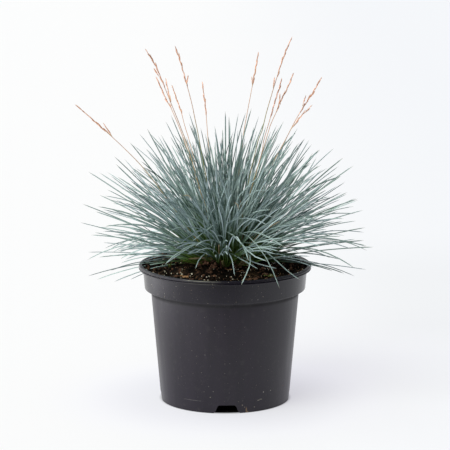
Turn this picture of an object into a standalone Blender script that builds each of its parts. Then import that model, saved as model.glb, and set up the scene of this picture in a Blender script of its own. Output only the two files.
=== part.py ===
"""Potted blue fescue: a clump of needle-like blue-grey leaves with dry flower stems, in a black nursery pot.

Metres, +Z up. The origin is on the floor, on the pot's axis, and the front is -Y.
"""

import math
import random

import bmesh
import bpy
import numpy as np
from mathutils import Matrix, Vector, noise

# Pot.
POT_HEIGHT = 0.1355
RIM_RADIUS = 0.085
LIP_INNER_RADIUS = 0.0818
LIP_HEIGHT = 0.0040
LIP_ROUND = 0.0009
BEAD_RADIUS = 0.0822
BEAD_HEIGHT = 0.0012
BAND_TOP_RADIUS = 0.0808
BAND_BOTTOM_RADIUS = 0.0792
BAND_BOTTOM = 0.1117
BAND_ROUND = 0.0012
LEDGE_RISE = 0.0012
SHOULDER_RADIUS = 0.0730
SHOULDER_HEIGHT = 0.1088
BASE_RADIUS = 0.0637
WALL = 0.0012
FLOOR_BOTTOM = 0.0092
FLOOR_TOP = 0.0106
FOOT_WIDTH = 0.0018
FOOT_ROUND = 0.0007
POT_SIDES = 36

# Notches in the foot ring and holes in the base.
NOTCHES = 4
NOTCH_TURN = math.radians(1.6)
NOTCH_BOTTOM_WIDTH = 0.024
NOTCH_TOP_WIDTH = 0.017
NOTCH_HEIGHT = 0.0082
NOTCH_INNER_REACH = 0.012
NOTCH_OUTER_REACH = 0.006
DRAIN_HOLES = 8
DRAIN_HOLE_RADIUS = 0.0045
DRAIN_CIRCLE_RADIUS = 0.040
DRAIN_HOLE_SIDES = 10

# Soil, with a flat seat on top of its mound where the crown stands.
GAP = 0.0004
SOIL_EDGE_GAP = 0.0007
SOIL_EDGE_HEIGHT = 0.1322
SOIL_RINGS = [0.070, 0.058, 0.047, 0.037]
SEAT_HEIGHT = 0.1385
SEAT_RADIUS = 0.028
SOIL_LUMP = 0.0011
SOIL_LUMP_SIZE = 0.012

# Crown: places for the tillers and the flower stems, in a spiral over the seat.
CROWN_RADIUS = 0.0245
CROWN_GAP = 0.0003
GOLDEN_ANGLE = math.pi * (3 - math.sqrt(5))
TUFTS = 37
SHEATH_RADIUS = 0.0024
SHEATH_LENGTH = 0.008
FOOT_SEARCH_STEP = 0.0003

# Leaves. Shares are of a leaf's length, and each radius is the leaf's at that share.
LEAVES_PER_TUFT = 6
LEAF_SHARES = [0.15, 0.42, 0.74, 1.0]
LEAF_RADII = [0.0011, 0.0018, 0.0014]
LEAF_TIP_RADIUS = 0.0003
LEAF_SPREAD = 0.0026
LEAF_GAP = 0.0004
CLUMP_RADIUS = 0.1495
SHORTEST_SHARE = 0.80
EDGE_LEAN = math.radians(76)
CENTRE_BEND = math.radians(6)
EDGE_BEND = math.radians(34)
BEND_VARIES = math.radians(9)
SWAY = 0.009
ARCH_STEPS = 50
LEAF_TRIES = 300
SEED = 10

# Flower stems. Each tip is a place over the floor, and a branch is the length of the stem's side branch.
STEM_RADIUS = 0.0007
STEM_SHARES = [0.25, 0.5, 0.68]
STEM_TAPER = 0.45
STEM_CLEARANCE = 0.0021
HEAD_LENGTH = 0.044
HEAD_RADIUS = 0.003
SPIKELETS = 6
SPIKELET_LENGTH = 0.0085
SPIKELET_WIDTH = 0.0016
SPIKELET_ANGLE = math.radians(6)
BRANCH_ANGLE = math.radians(16)
STEMS = [
    {"tip": (-0.1445, -0.030, 0.2980), "branch": 0.018},
    {"tip": (-0.0758, -0.055, 0.3545), "branch": 0.0},
    {"tip": (-0.0697, 0.070, 0.3133), "branch": 0.022},
    {"tip": (-0.0538, 0.085, 0.3027), "branch": 0.0},
    {"tip": (-0.0484, -0.015, 0.3531), "branch": 0.0},
    {"tip": (-0.0224, 0.050, 0.3103), "branch": 0.0},
    {"tip": (0.0337, 0.075, 0.3369), "branch": 0.0},
    {"tip": (0.0648, -0.025, 0.3630), "branch": 0.0},
    {"tip": (0.0533, -0.085, 0.3300), "branch": 0.0},
    {"tip": (0.0688, 0.060, 0.3178), "branch": 0.012},
    {"tip": (0.0926, -0.045, 0.3262), "branch": 0.027},
]


def material(name, colour, roughness):
    made = bpy.data.materials.new(name)
    made.use_nodes = True
    made.diffuse_color = (*colour, 1.0)
    surface = made.node_tree.nodes["Principled BSDF"]
    surface.inputs["Base Color"].default_value = (*colour, 1.0)
    surface.inputs["Roughness"].default_value = roughness
    surface.inputs["Metallic"].default_value = 0.0
    return made


def named_object(name, bm, finish, smooth_below):
    """Makes a bmesh an object of the scene, smooth where its faces meet at less than an angle."""
    bmesh.ops.recalc_face_normals(bm, faces=bm.faces)
    mesh = bpy.data.meshes.new(name)
    bm.to_mesh(mesh)
    bm.free()
    mesh.materials.append(finish)
    mesh.shade_smooth()
    mesh.set_sharp_from_angle(angle=smooth_below)
    made = bpy.data.objects.new(name, mesh)
    bpy.context.scene.collection.objects.link(made)
    return made


def turned_solid(outline, sides):
    """Spins an outline of (radius, height) points, whose two ends lie on the axis, into a closed solid."""
    bm = bmesh.new()
    verts = [bm.verts.new((radius, 0, height)) for radius, height in outline]
    edges = [bm.edges.new(pair) for pair in zip(verts, verts[1:])]
    bmesh.ops.spin(
        bm, geom=verts + edges, axis=(0, 0, 1), angle=2 * math.pi, steps=sides, use_merge=True
    )
    bmesh.ops.remove_doubles(bm, verts=bm.verts, dist=1e-6)
    return bm


def cut(target, bm, name, finish):
    cutter = named_object(name, bm, finish, 0)
    cutter.hide_render = True
    cutter.display_type = "WIRE"
    boolean = target.modifiers.new(name, "BOOLEAN")
    boolean.operation = "DIFFERENCE"
    boolean.object = cutter


def pot_outer_wall():
    """Points (radius, height) down the outside, from the lip's top to the foot's outer edge."""
    lip_bottom = POT_HEIGHT - LIP_HEIGHT
    return [
        (RIM_RADIUS - LIP_ROUND, POT_HEIGHT),
        (RIM_RADIUS, POT_HEIGHT - LIP_ROUND),
        (RIM_RADIUS, lip_bottom + LIP_ROUND),
        (RIM_RADIUS - LIP_ROUND, lip_bottom),
        (BEAD_RADIUS, lip_bottom - 0.0002),
        (BEAD_RADIUS, lip_bottom - BEAD_HEIGHT),
        (BAND_TOP_RADIUS, lip_bottom - BEAD_HEIGHT - 0.0004),
        (BAND_BOTTOM_RADIUS, BAND_BOTTOM + BAND_ROUND),
        (BAND_BOTTOM_RADIUS - BAND_ROUND, BAND_BOTTOM),
        (SHOULDER_RADIUS + LEDGE_RISE, SHOULDER_HEIGHT + LEDGE_RISE),
        (SHOULDER_RADIUS, SHOULDER_HEIGHT),
        (BASE_RADIUS, FOOT_ROUND),
        (BASE_RADIUS - FOOT_ROUND, 0.0),
    ]


def pot_inner_wall():
    """Points (radius, height) up the inside, from the edge of the floor to the lip's top."""
    return [
        (BASE_RADIUS - WALL / 2, FLOOR_TOP),
        (SHOULDER_RADIUS - WALL, SHOULDER_HEIGHT + WALL / 2),
        (SHOULDER_RADIUS, SHOULDER_HEIGHT + 2 * WALL),
        (BAND_BOTTOM_RADIUS - BAND_ROUND - WALL / 2, BAND_BOTTOM + WALL),
        (BAND_BOTTOM_RADIUS - WALL, BAND_BOTTOM + BAND_ROUND + WALL / 2),
        (BAND_TOP_RADIUS - WALL, POT_HEIGHT - LIP_HEIGHT - WALL),
        (LIP_INNER_RADIUS, POT_HEIGHT - LIP_ROUND),
        (LIP_INNER_RADIUS + LIP_ROUND, POT_HEIGHT),
    ]


def notch_cutter():
    """Wedges across the foot ring, wider at the floor than at their tops."""
    bm = bmesh.new()
    inner = BASE_RADIUS - NOTCH_INNER_REACH
    outer = BASE_RADIUS + NOTCH_OUTER_REACH
    below_floor = -0.001
    corners = [
        (-NOTCH_BOTTOM_WIDTH / 2, below_floor),
        (NOTCH_BOTTOM_WIDTH / 2, below_floor),
        (NOTCH_TOP_WIDTH / 2, NOTCH_HEIGHT),
        (-NOTCH_TOP_WIDTH / 2, NOTCH_HEIGHT),
    ]
    for number in range(NOTCHES):
        verts = [bm.verts.new((inner, across, height)) for across, height in corners]
        grown = bmesh.ops.extrude_face_region(bm, geom=[bm.faces.new(verts)])["geom"]
        verts_out = [item for item in grown if isinstance(item, bmesh.types.BMVert)]
        bmesh.ops.translate(bm, verts=verts_out, vec=(outer - inner, 0, 0))
        turn = NOTCH_TURN + (number - 1) * 2 * math.pi / NOTCHES
        bmesh.ops.rotate(bm, verts=verts + verts_out, matrix=Matrix.Rotation(turn, 3, "Z"))
    return bm


def drain_cutter():
    """Round posts through the base: one in the middle and a ring of them round it."""
    bm = bmesh.new()
    places = [Vector((0, 0, 0))]
    for number in range(DRAIN_HOLES):
        angle = NOTCH_TURN + (number + 0.5) * 2 * math.pi / DRAIN_HOLES
        places.append(Vector((math.cos(angle), math.sin(angle), 0)) * DRAIN_CIRCLE_RADIUS)
    for place in places:
        post = bmesh.ops.create_cone(
            bm,
            cap_ends=True,
            segments=DRAIN_HOLE_SIDES,
            radius1=DRAIN_HOLE_RADIUS,
            radius2=DRAIN_HOLE_RADIUS,
            depth=FLOOR_BOTTOM,
        )
        middle = place + Vector((0, 0, (FLOOR_BOTTOM + FLOOR_TOP) / 2))
        bmesh.ops.translate(bm, verts=post["verts"], vec=middle)
    return bm


def build_pot(finish):
    foot_inner = BASE_RADIUS - FOOT_ROUND - FOOT_WIDTH
    inside_foot = [(foot_inner, 0.0), (foot_inner, FLOOR_BOTTOM), (0.0, FLOOR_BOTTOM)]
    outline = [(0.0, FLOOR_TOP)] + pot_inner_wall() + pot_outer_wall() + inside_foot
    pot = named_object("pot", turned_solid(outline, POT_SIDES), finish, math.radians(30))
    cut(pot, notch_cutter(), "notch_cutter", finish)
    cut(pot, drain_cutter(), "drain_cutter", finish)


def soil_edge_radius():
    return BAND_TOP_RADIUS - WALL - SOIL_EDGE_GAP


def soil_height(x, y):
    """Height of the soil: low at the wall, mounded towards the seat, and lumpy all round the seat."""
    out = (math.hypot(x, y) - SEAT_RADIUS) / (soil_edge_radius() - SEAT_RADIUS)
    out = min(max(out, 0.0), 1.0)
    mound = SEAT_HEIGHT + (SOIL_EDGE_HEIGHT - SEAT_HEIGHT) * (3 * out**2 - 2 * out**3)
    lump = noise.noise(Vector((x, y, 0.0)) / SOIL_LUMP_SIZE)
    return mound + SOIL_LUMP * lump * min(out * 6, 1.0)


def build_soil(finish):
    side = [(radius - GAP, height + GAP) for radius, height in pot_inner_wall()[:5]]
    top = [(radius, SOIL_EDGE_HEIGHT) for radius in [soil_edge_radius(), *SOIL_RINGS, SEAT_RADIUS]]
    outline = [(0.0, FLOOR_TOP + GAP)] + side + top + [(0.0, SOIL_EDGE_HEIGHT)]
    bm = turned_solid(outline, POT_SIDES)
    for vert in bm.verts:
        if vert.co.z > SOIL_EDGE_HEIGHT - SOIL_LUMP:
            vert.co.z = soil_height(vert.co.x, vert.co.y)
    named_object("potting_soil", bm, finish, math.radians(50))


def heading(lean, azimuth):
    """The direction that leans from upright towards an azimuth."""
    out = math.sin(lean)
    return Vector((out * math.cos(azimuth), out * math.sin(azimuth), math.cos(lean)))


def crown_seats(count):
    """Places on the crown along a sunflower spiral, from its middle outwards."""
    seats = []
    for number in range(count):
        radius = CROWN_RADIUS * math.sqrt((number + 0.5) / count)
        angle = number * GOLDEN_ANGLE
        seats.append(Vector((radius * math.cos(angle), radius * math.sin(angle), 0)))
    return seats


def arch(start, length, more_bend, sway, shares):
    """Points of a leaf that rises over a place on the crown, at shares of its length.

    The further out it stands, the more it leans and arches over, so leaves that start apart stay apart.
    """
    out = start.length / CROWN_RADIUS
    azimuth = math.atan2(start.y, start.x)
    lean = EDGE_LEAN * out
    bend = CENTRE_BEND + (EDGE_BEND - CENTRE_BEND) * out + more_bend
    place = start + Vector((0, 0, SEAT_HEIGHT + CROWN_GAP))
    track = [place.copy()]
    for step in range(ARCH_STEPS):
        turned = bend * ((step + 0.5) / ARCH_STEPS) ** 1.4
        place += heading(lean + turned, azimuth) * length / ARCH_STEPS
        track.append(place.copy())
    return [track[round(share * ARCH_STEPS)] + sway * share**2 for share in shares]


def leaf_length(start, more_bend, reach):
    """The length that brings a leaf's tip to a distance from the middle of the crown."""
    length = reach
    middle = Vector((0, 0, SEAT_HEIGHT))
    for _ in range(3):
        tip = arch(start, length, more_bend, Vector((0, 0, 0)), [1.0])[0]
        length *= reach / (tip - middle).length
    return length


def balls_along(points, radii):
    """Rows of x, y, z and radius, close together along a path, for telling whether two paths touch."""
    rows = []
    for number in range(len(points) - 1):
        for part in (0.0, 0.2, 0.4, 0.6, 0.8, 1.0):
            place = points[number].lerp(points[number + 1], part)
            rows.append((*place, radii[number] + (radii[number + 1] - radii[number]) * part))
    return np.array(rows)


def touches(balls, others):
    for other in others:
        apart = np.linalg.norm(balls[:, None, :3] - other[None, :, :3], axis=2)
        if (apart < balls[:, None, 3] + other[None, :, 3] + LEAF_GAP).any():
            return True
    return False


def grow(bm, face, points, radii):
    """Extrudes a face through points, as wide as the radii, and ends it in the last point."""
    offsets = [vert.co - face.calc_center_median() for vert in face.verts]
    reach = max(offset.length for offset in offsets)
    normal = face.normal.copy()
    behind = face.calc_center_median()
    for number, radius in enumerate(radii):
        way = (points[number + 1] - behind).normalized()
        turn = normal.rotation_difference(way)
        face = bmesh.ops.extrude_discrete_faces(bm, faces=[face])["faces"][0]
        for vert, offset in zip(face.verts, offsets):
            vert.co = points[number] + (turn @ offset) * (radius / reach)
        behind = points[number]
    face = bmesh.ops.extrude_discrete_faces(bm, faces=[face])["faces"][0]
    bmesh.ops.pointmerge(bm, verts=face.verts[:], merge_co=points[-1])


def leaf_paths(seat, turn, chance, stems, leaves):
    """Paths of a tuft's leaves, each swayed clear of the stems and of every leaf so far, or left out."""
    sheath_top = arch(seat, SHEATH_LENGTH, 0, Vector((0, 0, 0)), [1.0])[0]
    paths = []
    for number in range(LEAVES_PER_TUFT):
        angle = turn + (number + 0.5) * 2 * math.pi / LEAVES_PER_TUFT
        out = Vector((math.cos(angle), math.sin(angle), 0))
        for _ in range(LEAF_TRIES):
            start = seat + out * LEAF_SPREAD * chance.uniform(0.9, 1.15)
            more_bend = chance.uniform(-BEND_VARIES, BEND_VARIES) * start.length / CROWN_RADIUS
            reach = CLUMP_RADIUS * (1 - (1 - SHORTEST_SHARE) * chance.random() ** 2)
            sway = heading(chance.uniform(0, math.pi / 2), chance.uniform(0, 2 * math.pi)) * SWAY
            path = arch(start, leaf_length(start, more_bend, reach), more_bend, sway, LEAF_SHARES)
            root = balls_along([sheath_top + out * SHEATH_RADIUS / 2, path[0]], [LEAF_RADII[0]] * 2)
            balls = balls_along(path, [*LEAF_RADII, LEAF_TIP_RADIUS])
            if not touches(root, stems) and not touches(balls, stems + leaves):
                leaves.append(balls)
                paths.append(path)
                break
    return paths


def build_tuft(name, seat, chance, stems, leaves, finish):
    """A sheath on the crown whose top splits into leaves."""
    turn = chance.uniform(0, 2 * math.pi)
    paths = leaf_paths(seat, turn, chance, stems, leaves)
    foot, top = arch(seat, SHEATH_LENGTH, 0, Vector((0, 0, 0)), [0.0, 1.0])
    bm = bmesh.new()
    turned = Matrix.Rotation(turn, 4, "Z")
    circle = bmesh.ops.create_circle(
        bm, cap_ends=True, segments=LEAVES_PER_TUFT, radius=SHEATH_RADIUS, matrix=turned
    )
    bmesh.ops.translate(bm, verts=circle["verts"], vec=foot)
    base = bm.faces[:][0]
    grown = bmesh.ops.extrude_face_region(bm, geom=[base], use_keep_orig=True)["geom"]
    upper = [item for item in grown if isinstance(item, bmesh.types.BMVert)]
    bmesh.ops.translate(bm, verts=upper, vec=top - foot)
    bmesh.ops.recalc_face_normals(bm, faces=bm.faces)
    cap = [item for item in grown if isinstance(item, bmesh.types.BMFace)]
    sectors = bmesh.ops.poke(bm, faces=cap)["faces"]
    for path in paths:
        nearest = min(sectors, key=lambda sector: (sector.calc_center_median() - path[0]).length)
        sectors.remove(nearest)
        grow(bm, nearest, path, LEAF_RADII)
    named_object(name, bm, finish, math.radians(20))


def stem_path(seat, tip):
    """Points of a stem that leaves its seat as the leaves round it do, up to its flower head and along it."""
    foot = seat + Vector((0, 0, SEAT_HEIGHT + CROWN_GAP))
    tip = Vector(tip)
    chord = tip - foot
    lean = chord.angle(Vector((0, 0, 1)))
    seat_lean = EDGE_LEAN * seat.length / CROWN_RADIUS
    low = foot + heading(seat_lean, math.atan2(seat.y, seat.x)) * chord.length / 4
    high = tip - heading(lean * 1.25, math.atan2(chord.y, chord.x)) * chord.length / 3
    head = HEAD_LENGTH / chord.length
    head_shares = [1 - head * (1 - number / (SPIKELETS + 1)) for number in range(SPIKELETS + 2)]
    points = []
    for share in STEM_SHARES + head_shares:
        rest = 1 - share
        curve = foot * rest**3 + low * 3 * share * rest**2 + high * 3 * share**2 * rest + tip * share**3
        points.append(curve)
    return [foot, *points]


def stem_feet(seats):
    """The place for each stem between the tufts, near where the leaves lean as the stem does."""
    keep_off = [(seat, SHEATH_RADIUS + STEM_RADIUS + CROWN_GAP) for seat in seats]
    feet = []
    for stem in STEMS:
        tip = Vector(stem["tip"]) - Vector((0, 0, SEAT_HEIGHT))
        out = tip.angle(Vector((0, 0, 1))) / (EDGE_LEAN + 0.4 * EDGE_BEND)
        wanted = Vector((tip.x, tip.y, 0)).normalized() * out * CROWN_RADIUS
        step = 0
        place = wanted
        while any((place - other).length < clear for other, clear in keep_off):
            step += 1
            angle = step * GOLDEN_ANGLE
            beside = Vector((math.cos(angle), math.sin(angle), 0)) * FOOT_SEARCH_STEP * math.sqrt(step)
            place = wanted + beside
        keep_off.append((place, STEM_CLEARANCE))
        feet.append(place)
    return feet


def pull_out(bm, face, along, length, width, angle):
    """Draws a side face of a stem out into a pointed shape that lies along the stem."""
    out = face.normal.copy()
    across = along.cross(out).normalized()
    way = along * math.cos(angle) + out * math.sin(angle)
    centre = face.calc_center_median()
    belly = bmesh.ops.extrude_discrete_faces(bm, faces=[face])["faces"][0]
    for vert in belly.verts:
        forward = math.copysign(1, (vert.co - centre).dot(along))
        side = math.copysign(1, (vert.co - centre).dot(across))
        beside = across * side * width / 2
        vert.co = centre + way * length * 0.45 + out * width * (0.7 - 0.4 * forward) + beside
    point = bmesh.ops.extrude_discrete_faces(bm, faces=[belly])["faces"][0]
    bmesh.ops.pointmerge(bm, verts=point.verts[:], merge_co=centre + way * length + out * width * 0.6)


def build_stem(name, path, branch, finish):
    """A thin square stem that tapers to its tip, with spikelets by turns on either side of its head."""
    bm = bmesh.new()
    lean = (path[1] - path[0]).to_track_quat("Z", "Y").to_matrix().to_4x4()
    bmesh.ops.create_circle(bm, cap_ends=True, segments=4, radius=STEM_RADIUS)
    bmesh.ops.translate(bm, verts=bm.verts, vec=path[0])
    face = bm.faces[:][0]
    offsets = [vert.co - path[0] for vert in face.verts]
    rings = [face.verts[:]]
    grown = bmesh.ops.extrude_face_region(bm, geom=[face], use_keep_orig=True)["geom"]
    face = [item for item in grown if isinstance(item, bmesh.types.BMFace)][0]
    for number in range(1, len(path) - 1):
        if number > 1:
            face = bmesh.ops.extrude_discrete_faces(bm, faces=[face])["faces"][0]
        narrow = 1 - STEM_TAPER * number / len(path)
        for vert, offset in zip(face.verts, offsets):
            vert.co = path[number] + (lean @ offset) * narrow
        rings.append(face.verts[:])
    face = bmesh.ops.extrude_discrete_faces(bm, faces=[face])["faces"][0]
    bmesh.ops.pointmerge(bm, verts=face.verts[:], merge_co=path[-1])
    bmesh.ops.recalc_face_normals(bm, faces=bm.faces)
    first = len(rings) - 1 - SPIKELETS
    for number in range(SPIKELETS):
        low, high = rings[first + number], rings[first + number + 1]
        side = 0 if number % 2 else 2
        wall = bm.faces.get([low[side], low[side + 1], high[side + 1], high[side]])
        along = (path[first + number + 1] - path[first + number]).normalized()
        if number == 0 and branch:
            pull_out(bm, wall, along, branch, SPIKELET_WIDTH, BRANCH_ANGLE)
        else:
            pull_out(bm, wall, along, SPIKELET_LENGTH, SPIKELET_WIDTH, SPIKELET_ANGLE)
    named_object(name, bm, finish, math.radians(20))


def build_plant(leaf_finish, stem_finish):
    seats = crown_seats(TUFTS)
    stems = []
    leaves = []
    for number, (foot, stem) in enumerate(zip(stem_feet(seats), STEMS), start=1):
        path = stem_path(foot, stem["tip"])
        build_stem(f"flower_stem_{number:02d}", path, stem["branch"], stem_finish)
        bare = len(STEM_SHARES)
        stems.append(balls_along(path, [STEM_RADIUS] * bare + [HEAD_RADIUS] * (len(path) - bare)))
    chance = random.Random(SEED)
    for number, seat in enumerate(seats, start=1):
        build_tuft(f"leaf_tuft_{number:02d}", seat, chance, stems, leaves, leaf_finish)


def main():
    for old in list(bpy.data.objects):
        bpy.data.objects.remove(old)
    build_pot(material("black_plastic", (0.022, 0.022, 0.025), 0.42))
    build_soil(material("peat", (0.018, 0.013, 0.009), 0.95))
    build_plant(material("blue_leaf", (0.16, 0.23, 0.22), 0.5), material("dry_stem", (0.52, 0.28, 0.16), 0.7))


main()
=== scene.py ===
"""The looks of a potted blue fescue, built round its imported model. Metres, +Z up, the front is -Y."""

import math
import random

import bmesh
import bpy
import numpy as np
from mathutils import Matrix, Vector, noise


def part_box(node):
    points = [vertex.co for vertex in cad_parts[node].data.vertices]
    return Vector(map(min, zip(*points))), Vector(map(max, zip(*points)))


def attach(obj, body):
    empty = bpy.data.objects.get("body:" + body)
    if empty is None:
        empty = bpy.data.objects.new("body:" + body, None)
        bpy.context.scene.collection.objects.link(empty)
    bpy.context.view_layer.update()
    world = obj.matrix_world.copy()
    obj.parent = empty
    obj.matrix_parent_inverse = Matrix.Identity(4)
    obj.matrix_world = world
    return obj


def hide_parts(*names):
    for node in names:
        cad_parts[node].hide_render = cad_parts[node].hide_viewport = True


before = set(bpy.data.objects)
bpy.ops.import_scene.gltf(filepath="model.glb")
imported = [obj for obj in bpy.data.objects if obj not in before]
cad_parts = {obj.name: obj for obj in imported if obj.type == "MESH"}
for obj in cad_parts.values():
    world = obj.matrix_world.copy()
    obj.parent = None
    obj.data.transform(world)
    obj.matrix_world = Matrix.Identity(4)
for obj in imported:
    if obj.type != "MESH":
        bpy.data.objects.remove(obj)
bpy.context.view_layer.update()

# Camera of the photo, a square of 450 pixels, fitted to the pot's rim, band and base.
PHOTO_PIXELS = 450
FOCAL_PIXELS = 2282.7
CAMERA_BACK = 2.206
CAMERA_HEIGHT = 0.586
CAMERA_PITCH = 0.1846
SENSOR_MM = 36
SIGHT_STEPS = 240
SMOOTH_BELOW = 35

# Pot.
POT_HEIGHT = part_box("pot")[1].z
RIM_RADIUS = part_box("pot")[1].x
LIP_INNER_RADIUS = 0.0818
LIP_HEIGHT = 0.0040
LIP_ROLL = 0.0006
LIP_GROOVE = 0.0009
LIP_SLOPE = 0.0010
BEAD_RADIUS = 0.0822
BEAD_HEIGHT = 0.0012
BAND_TOP_RADIUS = 0.0808
BAND_BOTTOM_RADIUS = 0.0792
BAND_BOTTOM = 0.1117
BAND_ROUND = 0.0012
LEDGE_START = 0.0014
LEDGE_DROP = 0.0002
INNER_LEDGE_RISE = 0.0022
SHOULDER_RADIUS = 0.0730
SHOULDER_HEIGHT = 0.1088
BASE_RADIUS = 0.0637
WALL = 0.0012
FLOOR_BOTTOM = 0.0092
FLOOR_TOP = 0.0106
FLOOR_FLARE = 0.0006
FOOT_WIDTH = 0.0018
FOOT_TAPER = 0.0001
POT_STEPS = 144
NOTCHES = 4
NOTCH_TURN = math.radians(1.6)
NOTCH_BOTTOM_WIDTH = 0.024
NOTCH_TOP_WIDTH = 0.017
NOTCH_HEIGHT = 0.0082
NOTCH_FLARE = 0.004
NOTCH_FLARE_HEIGHT = 0.0006
NOTCH_FLARE_INSET = 0.0005
NOTCH_FLARE_ROUND = 0.0022
NOTCH_TOP_ROUND = 0.0020
NOTCH_BELOW_FLOOR = 0.001
NOTCH_INNER_REACH = 0.012
NOTCH_CUT_LENGTH = 0.018
DRAIN_HOLES = 8
DRAIN_HOLE_RADIUS = 0.0045
DRAIN_HOLE_SIDES = 28
DRAIN_CUT_DEPTH = 0.008
DRAIN_CIRCLE_RADIUS = 0.040

# Soil bed. The bends are those of its side, over the band's bottom and over the shoulder.
SOIL_EDGE_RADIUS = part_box("potting_soil")[1].x
SOIL_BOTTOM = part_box("potting_soil")[0].z
SEAT_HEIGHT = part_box("potting_soil")[1].z
SOIL_EDGE_HEIGHT = 0.1322
SEAT_RADIUS = 0.026
SOIL_REACH = 0.0765
SOIL_GAP = 0.0004
SOIL_BENDS = (0.0020, 0.0015, -0.0060)
SOIL_RINGS = 60
SOIL_STEPS = 180
CLODS_PER_METRE = 95
CLOD_RELIEF = 0.0015
HOLLOWS_PER_METRE = 42
HOLLOW_RELIEF = 0.0016

# Loose pieces on the soil. The sizes of lumps are their radius, smallest and largest.
LOOSE_INNER_RADIUS = 0.018
LOOSE_OUTER_RADIUS = 0.0782
CRUMBS = 2600
CRUMB_SIZE = 0.00055
CRUMB_VARIES = (0.45, 0.48)
LARGEST_CRUMB = 0.0024
BANKED_CRUMBS = 420
BANKED_SIZES = (0.0007, 0.0014)
BANKED_ARC = (-0.25, math.pi + 0.25)
BANKED_RADII = (0.0748, SOIL_REACH)
BANKED_LIFTS = (0.0002, 0.0022)
HEAP_LUMPS = 16
HEAP_SIZES = (0.0010, 0.0022)
HEAP_SPREAD = 0.0028
HEAP_NARROWING = 0.0016
PERLITE_GRAINS = 210
PERLITE_SIZES = (0.00035, 0.00095)
BARK_CHIPS = 62
BARK_SIZES = (0.0009, 0.0024)
BARK_INNER_RADIUS = 0.024
SOIL_FIBRES = 150
FIBRE_LENGTHS = (0.003, 0.010)
FIBRE_WIDTHS = (0.00025, 0.00055)
FIBRE_START_REACH = 0.0775
FIBRE_REACH = 0.0785
FIBRE_LIFTS = (0.0002, 0.0016)
LOOSE_LIFT = 0.0004
SEEDLING_BLADES = 5
SEEDLING_BLADE_LENGTHS = (0.003, 0.006)
SEEDLING_BLADE_WIDTH = 0.0010
MOSS_LUMPS = 26
MOSS_SIZES = (0.0004, 0.0009)
MOSS_SPREAD = (0.0022, 0.0018, 0.0012)

# Crown and leaves. Leans are angles from upright.
CROWN_RADIUS = 0.0245
FOOT_SLICE = 0.001
FOOT_DEPTH = 0.001
TILLERS_PER_TUFT = 7
TUFT_SPREAD = 0.0042
TILLER_DEPTH = 0.0015
TILLER_LEAN_VARIES = math.radians(8)
SHEATH_WIDTH = 0.0021
SHEATH_LENGTHS = (0.012, 0.022)
SHEATH_SHARE = 0.16
SHEATH_DRYNESS = (0.0, 0.1, 0.6)
LEAVES_PER_TILLER = 3
LEAF_LEAN_VARIES = math.radians(12)
LEAF_TURN_VARIES = math.radians(19)
LEAF_BEND_VARIES = math.radians(13)
LEAF_SWAY_VARIES = 0.055
LEAF_FOOT_SPREAD = 0.0006
LEAF_REACH = 0.146
CENTRE_LEAN = math.radians(6)
SIDE_LEAN = math.radians(83)
FRONT_LEAN = math.radians(66)
LEAN_GROWTH = 1.50
LEAN_BEYOND = math.radians(5)
LOW_LEAN = math.radians(72)
LOW_LEAVES_LEFT_OUT = 0.32
LEFT_SHORTENING = 0.12
DEAD_LEAVES = 0.02
LEAF_WIDTH = 0.00142
LEAF_WIDTH_VARIES = (0.78, 1.16)
OUTLINE_DEPTH = 0.022
OUTLINE_TINTS = (0.05, 0.70)
FRONT_TINTS = (0.35, 0.72)
SEED = 7
LEAF_SEED = 2

# Tips of the leaves that stand out round the clump, in the photo's pixels, from left over the top to right.
OUTLINE_TIPS = [
    (130.0, 279.8), (114.2, 281.8), (96.8, 279.8), (87.6, 276.2), (98.9, 257.3), (87.7, 252.2),
    (103.0, 242.6), (90.7, 235.0), (94.3, 232.3), (97.3, 227.0), (80.0, 222.4), (95.3, 211.4),
    (82.0, 203.8), (99.4, 195.0), (107.0, 189.5), (110.6, 175.7), (99.4, 172.7), (88.2, 171.6),
    (115.7, 164.0), (113.7, 156.0), (129.5, 142.0), (139.0, 133.4), (147.0, 128.5), (158.2, 136.0),
    (165.4, 121.0), (170.7, 114.6), (170.0, 136.0), (178.0, 132.0), (183.5, 136.5), (188.8, 112.0),
    (191.0, 124.5), (195.0, 126.0), (200.5, 127.5), (205.0, 133.0), (214.4, 125.2), (225.4, 111.0),
    (230.2, 122.4), (238.5, 113.3), (246.0, 111.8), (251.6, 108.0), (256.0, 125.0), (258.9, 115.7),
    (265.0, 120.5), (271.0, 131.0), (277.0, 124.8), (278.5, 134.0), (283.8, 121.0), (288.0, 135.0),
    (293.0, 141.0), (297.7, 128.0), (299.5, 142.0), (304.4, 139.0), (312.0, 144.0), (319.6, 149.5),
    (333.8, 148.2), (343.5, 157.6), (338.9, 166.0), (353.7, 165.5), (340.9, 176.2), (345.5, 181.6),
    (347.6, 192.2), (355.7, 198.2), (363.4, 210.2), (365.4, 227.6), (363.9, 240.5), (373.6, 247.1),
    (366.4, 269.6), (354.7, 276.2), (344.5, 273.7), (332.8, 271.0),
]

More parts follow.
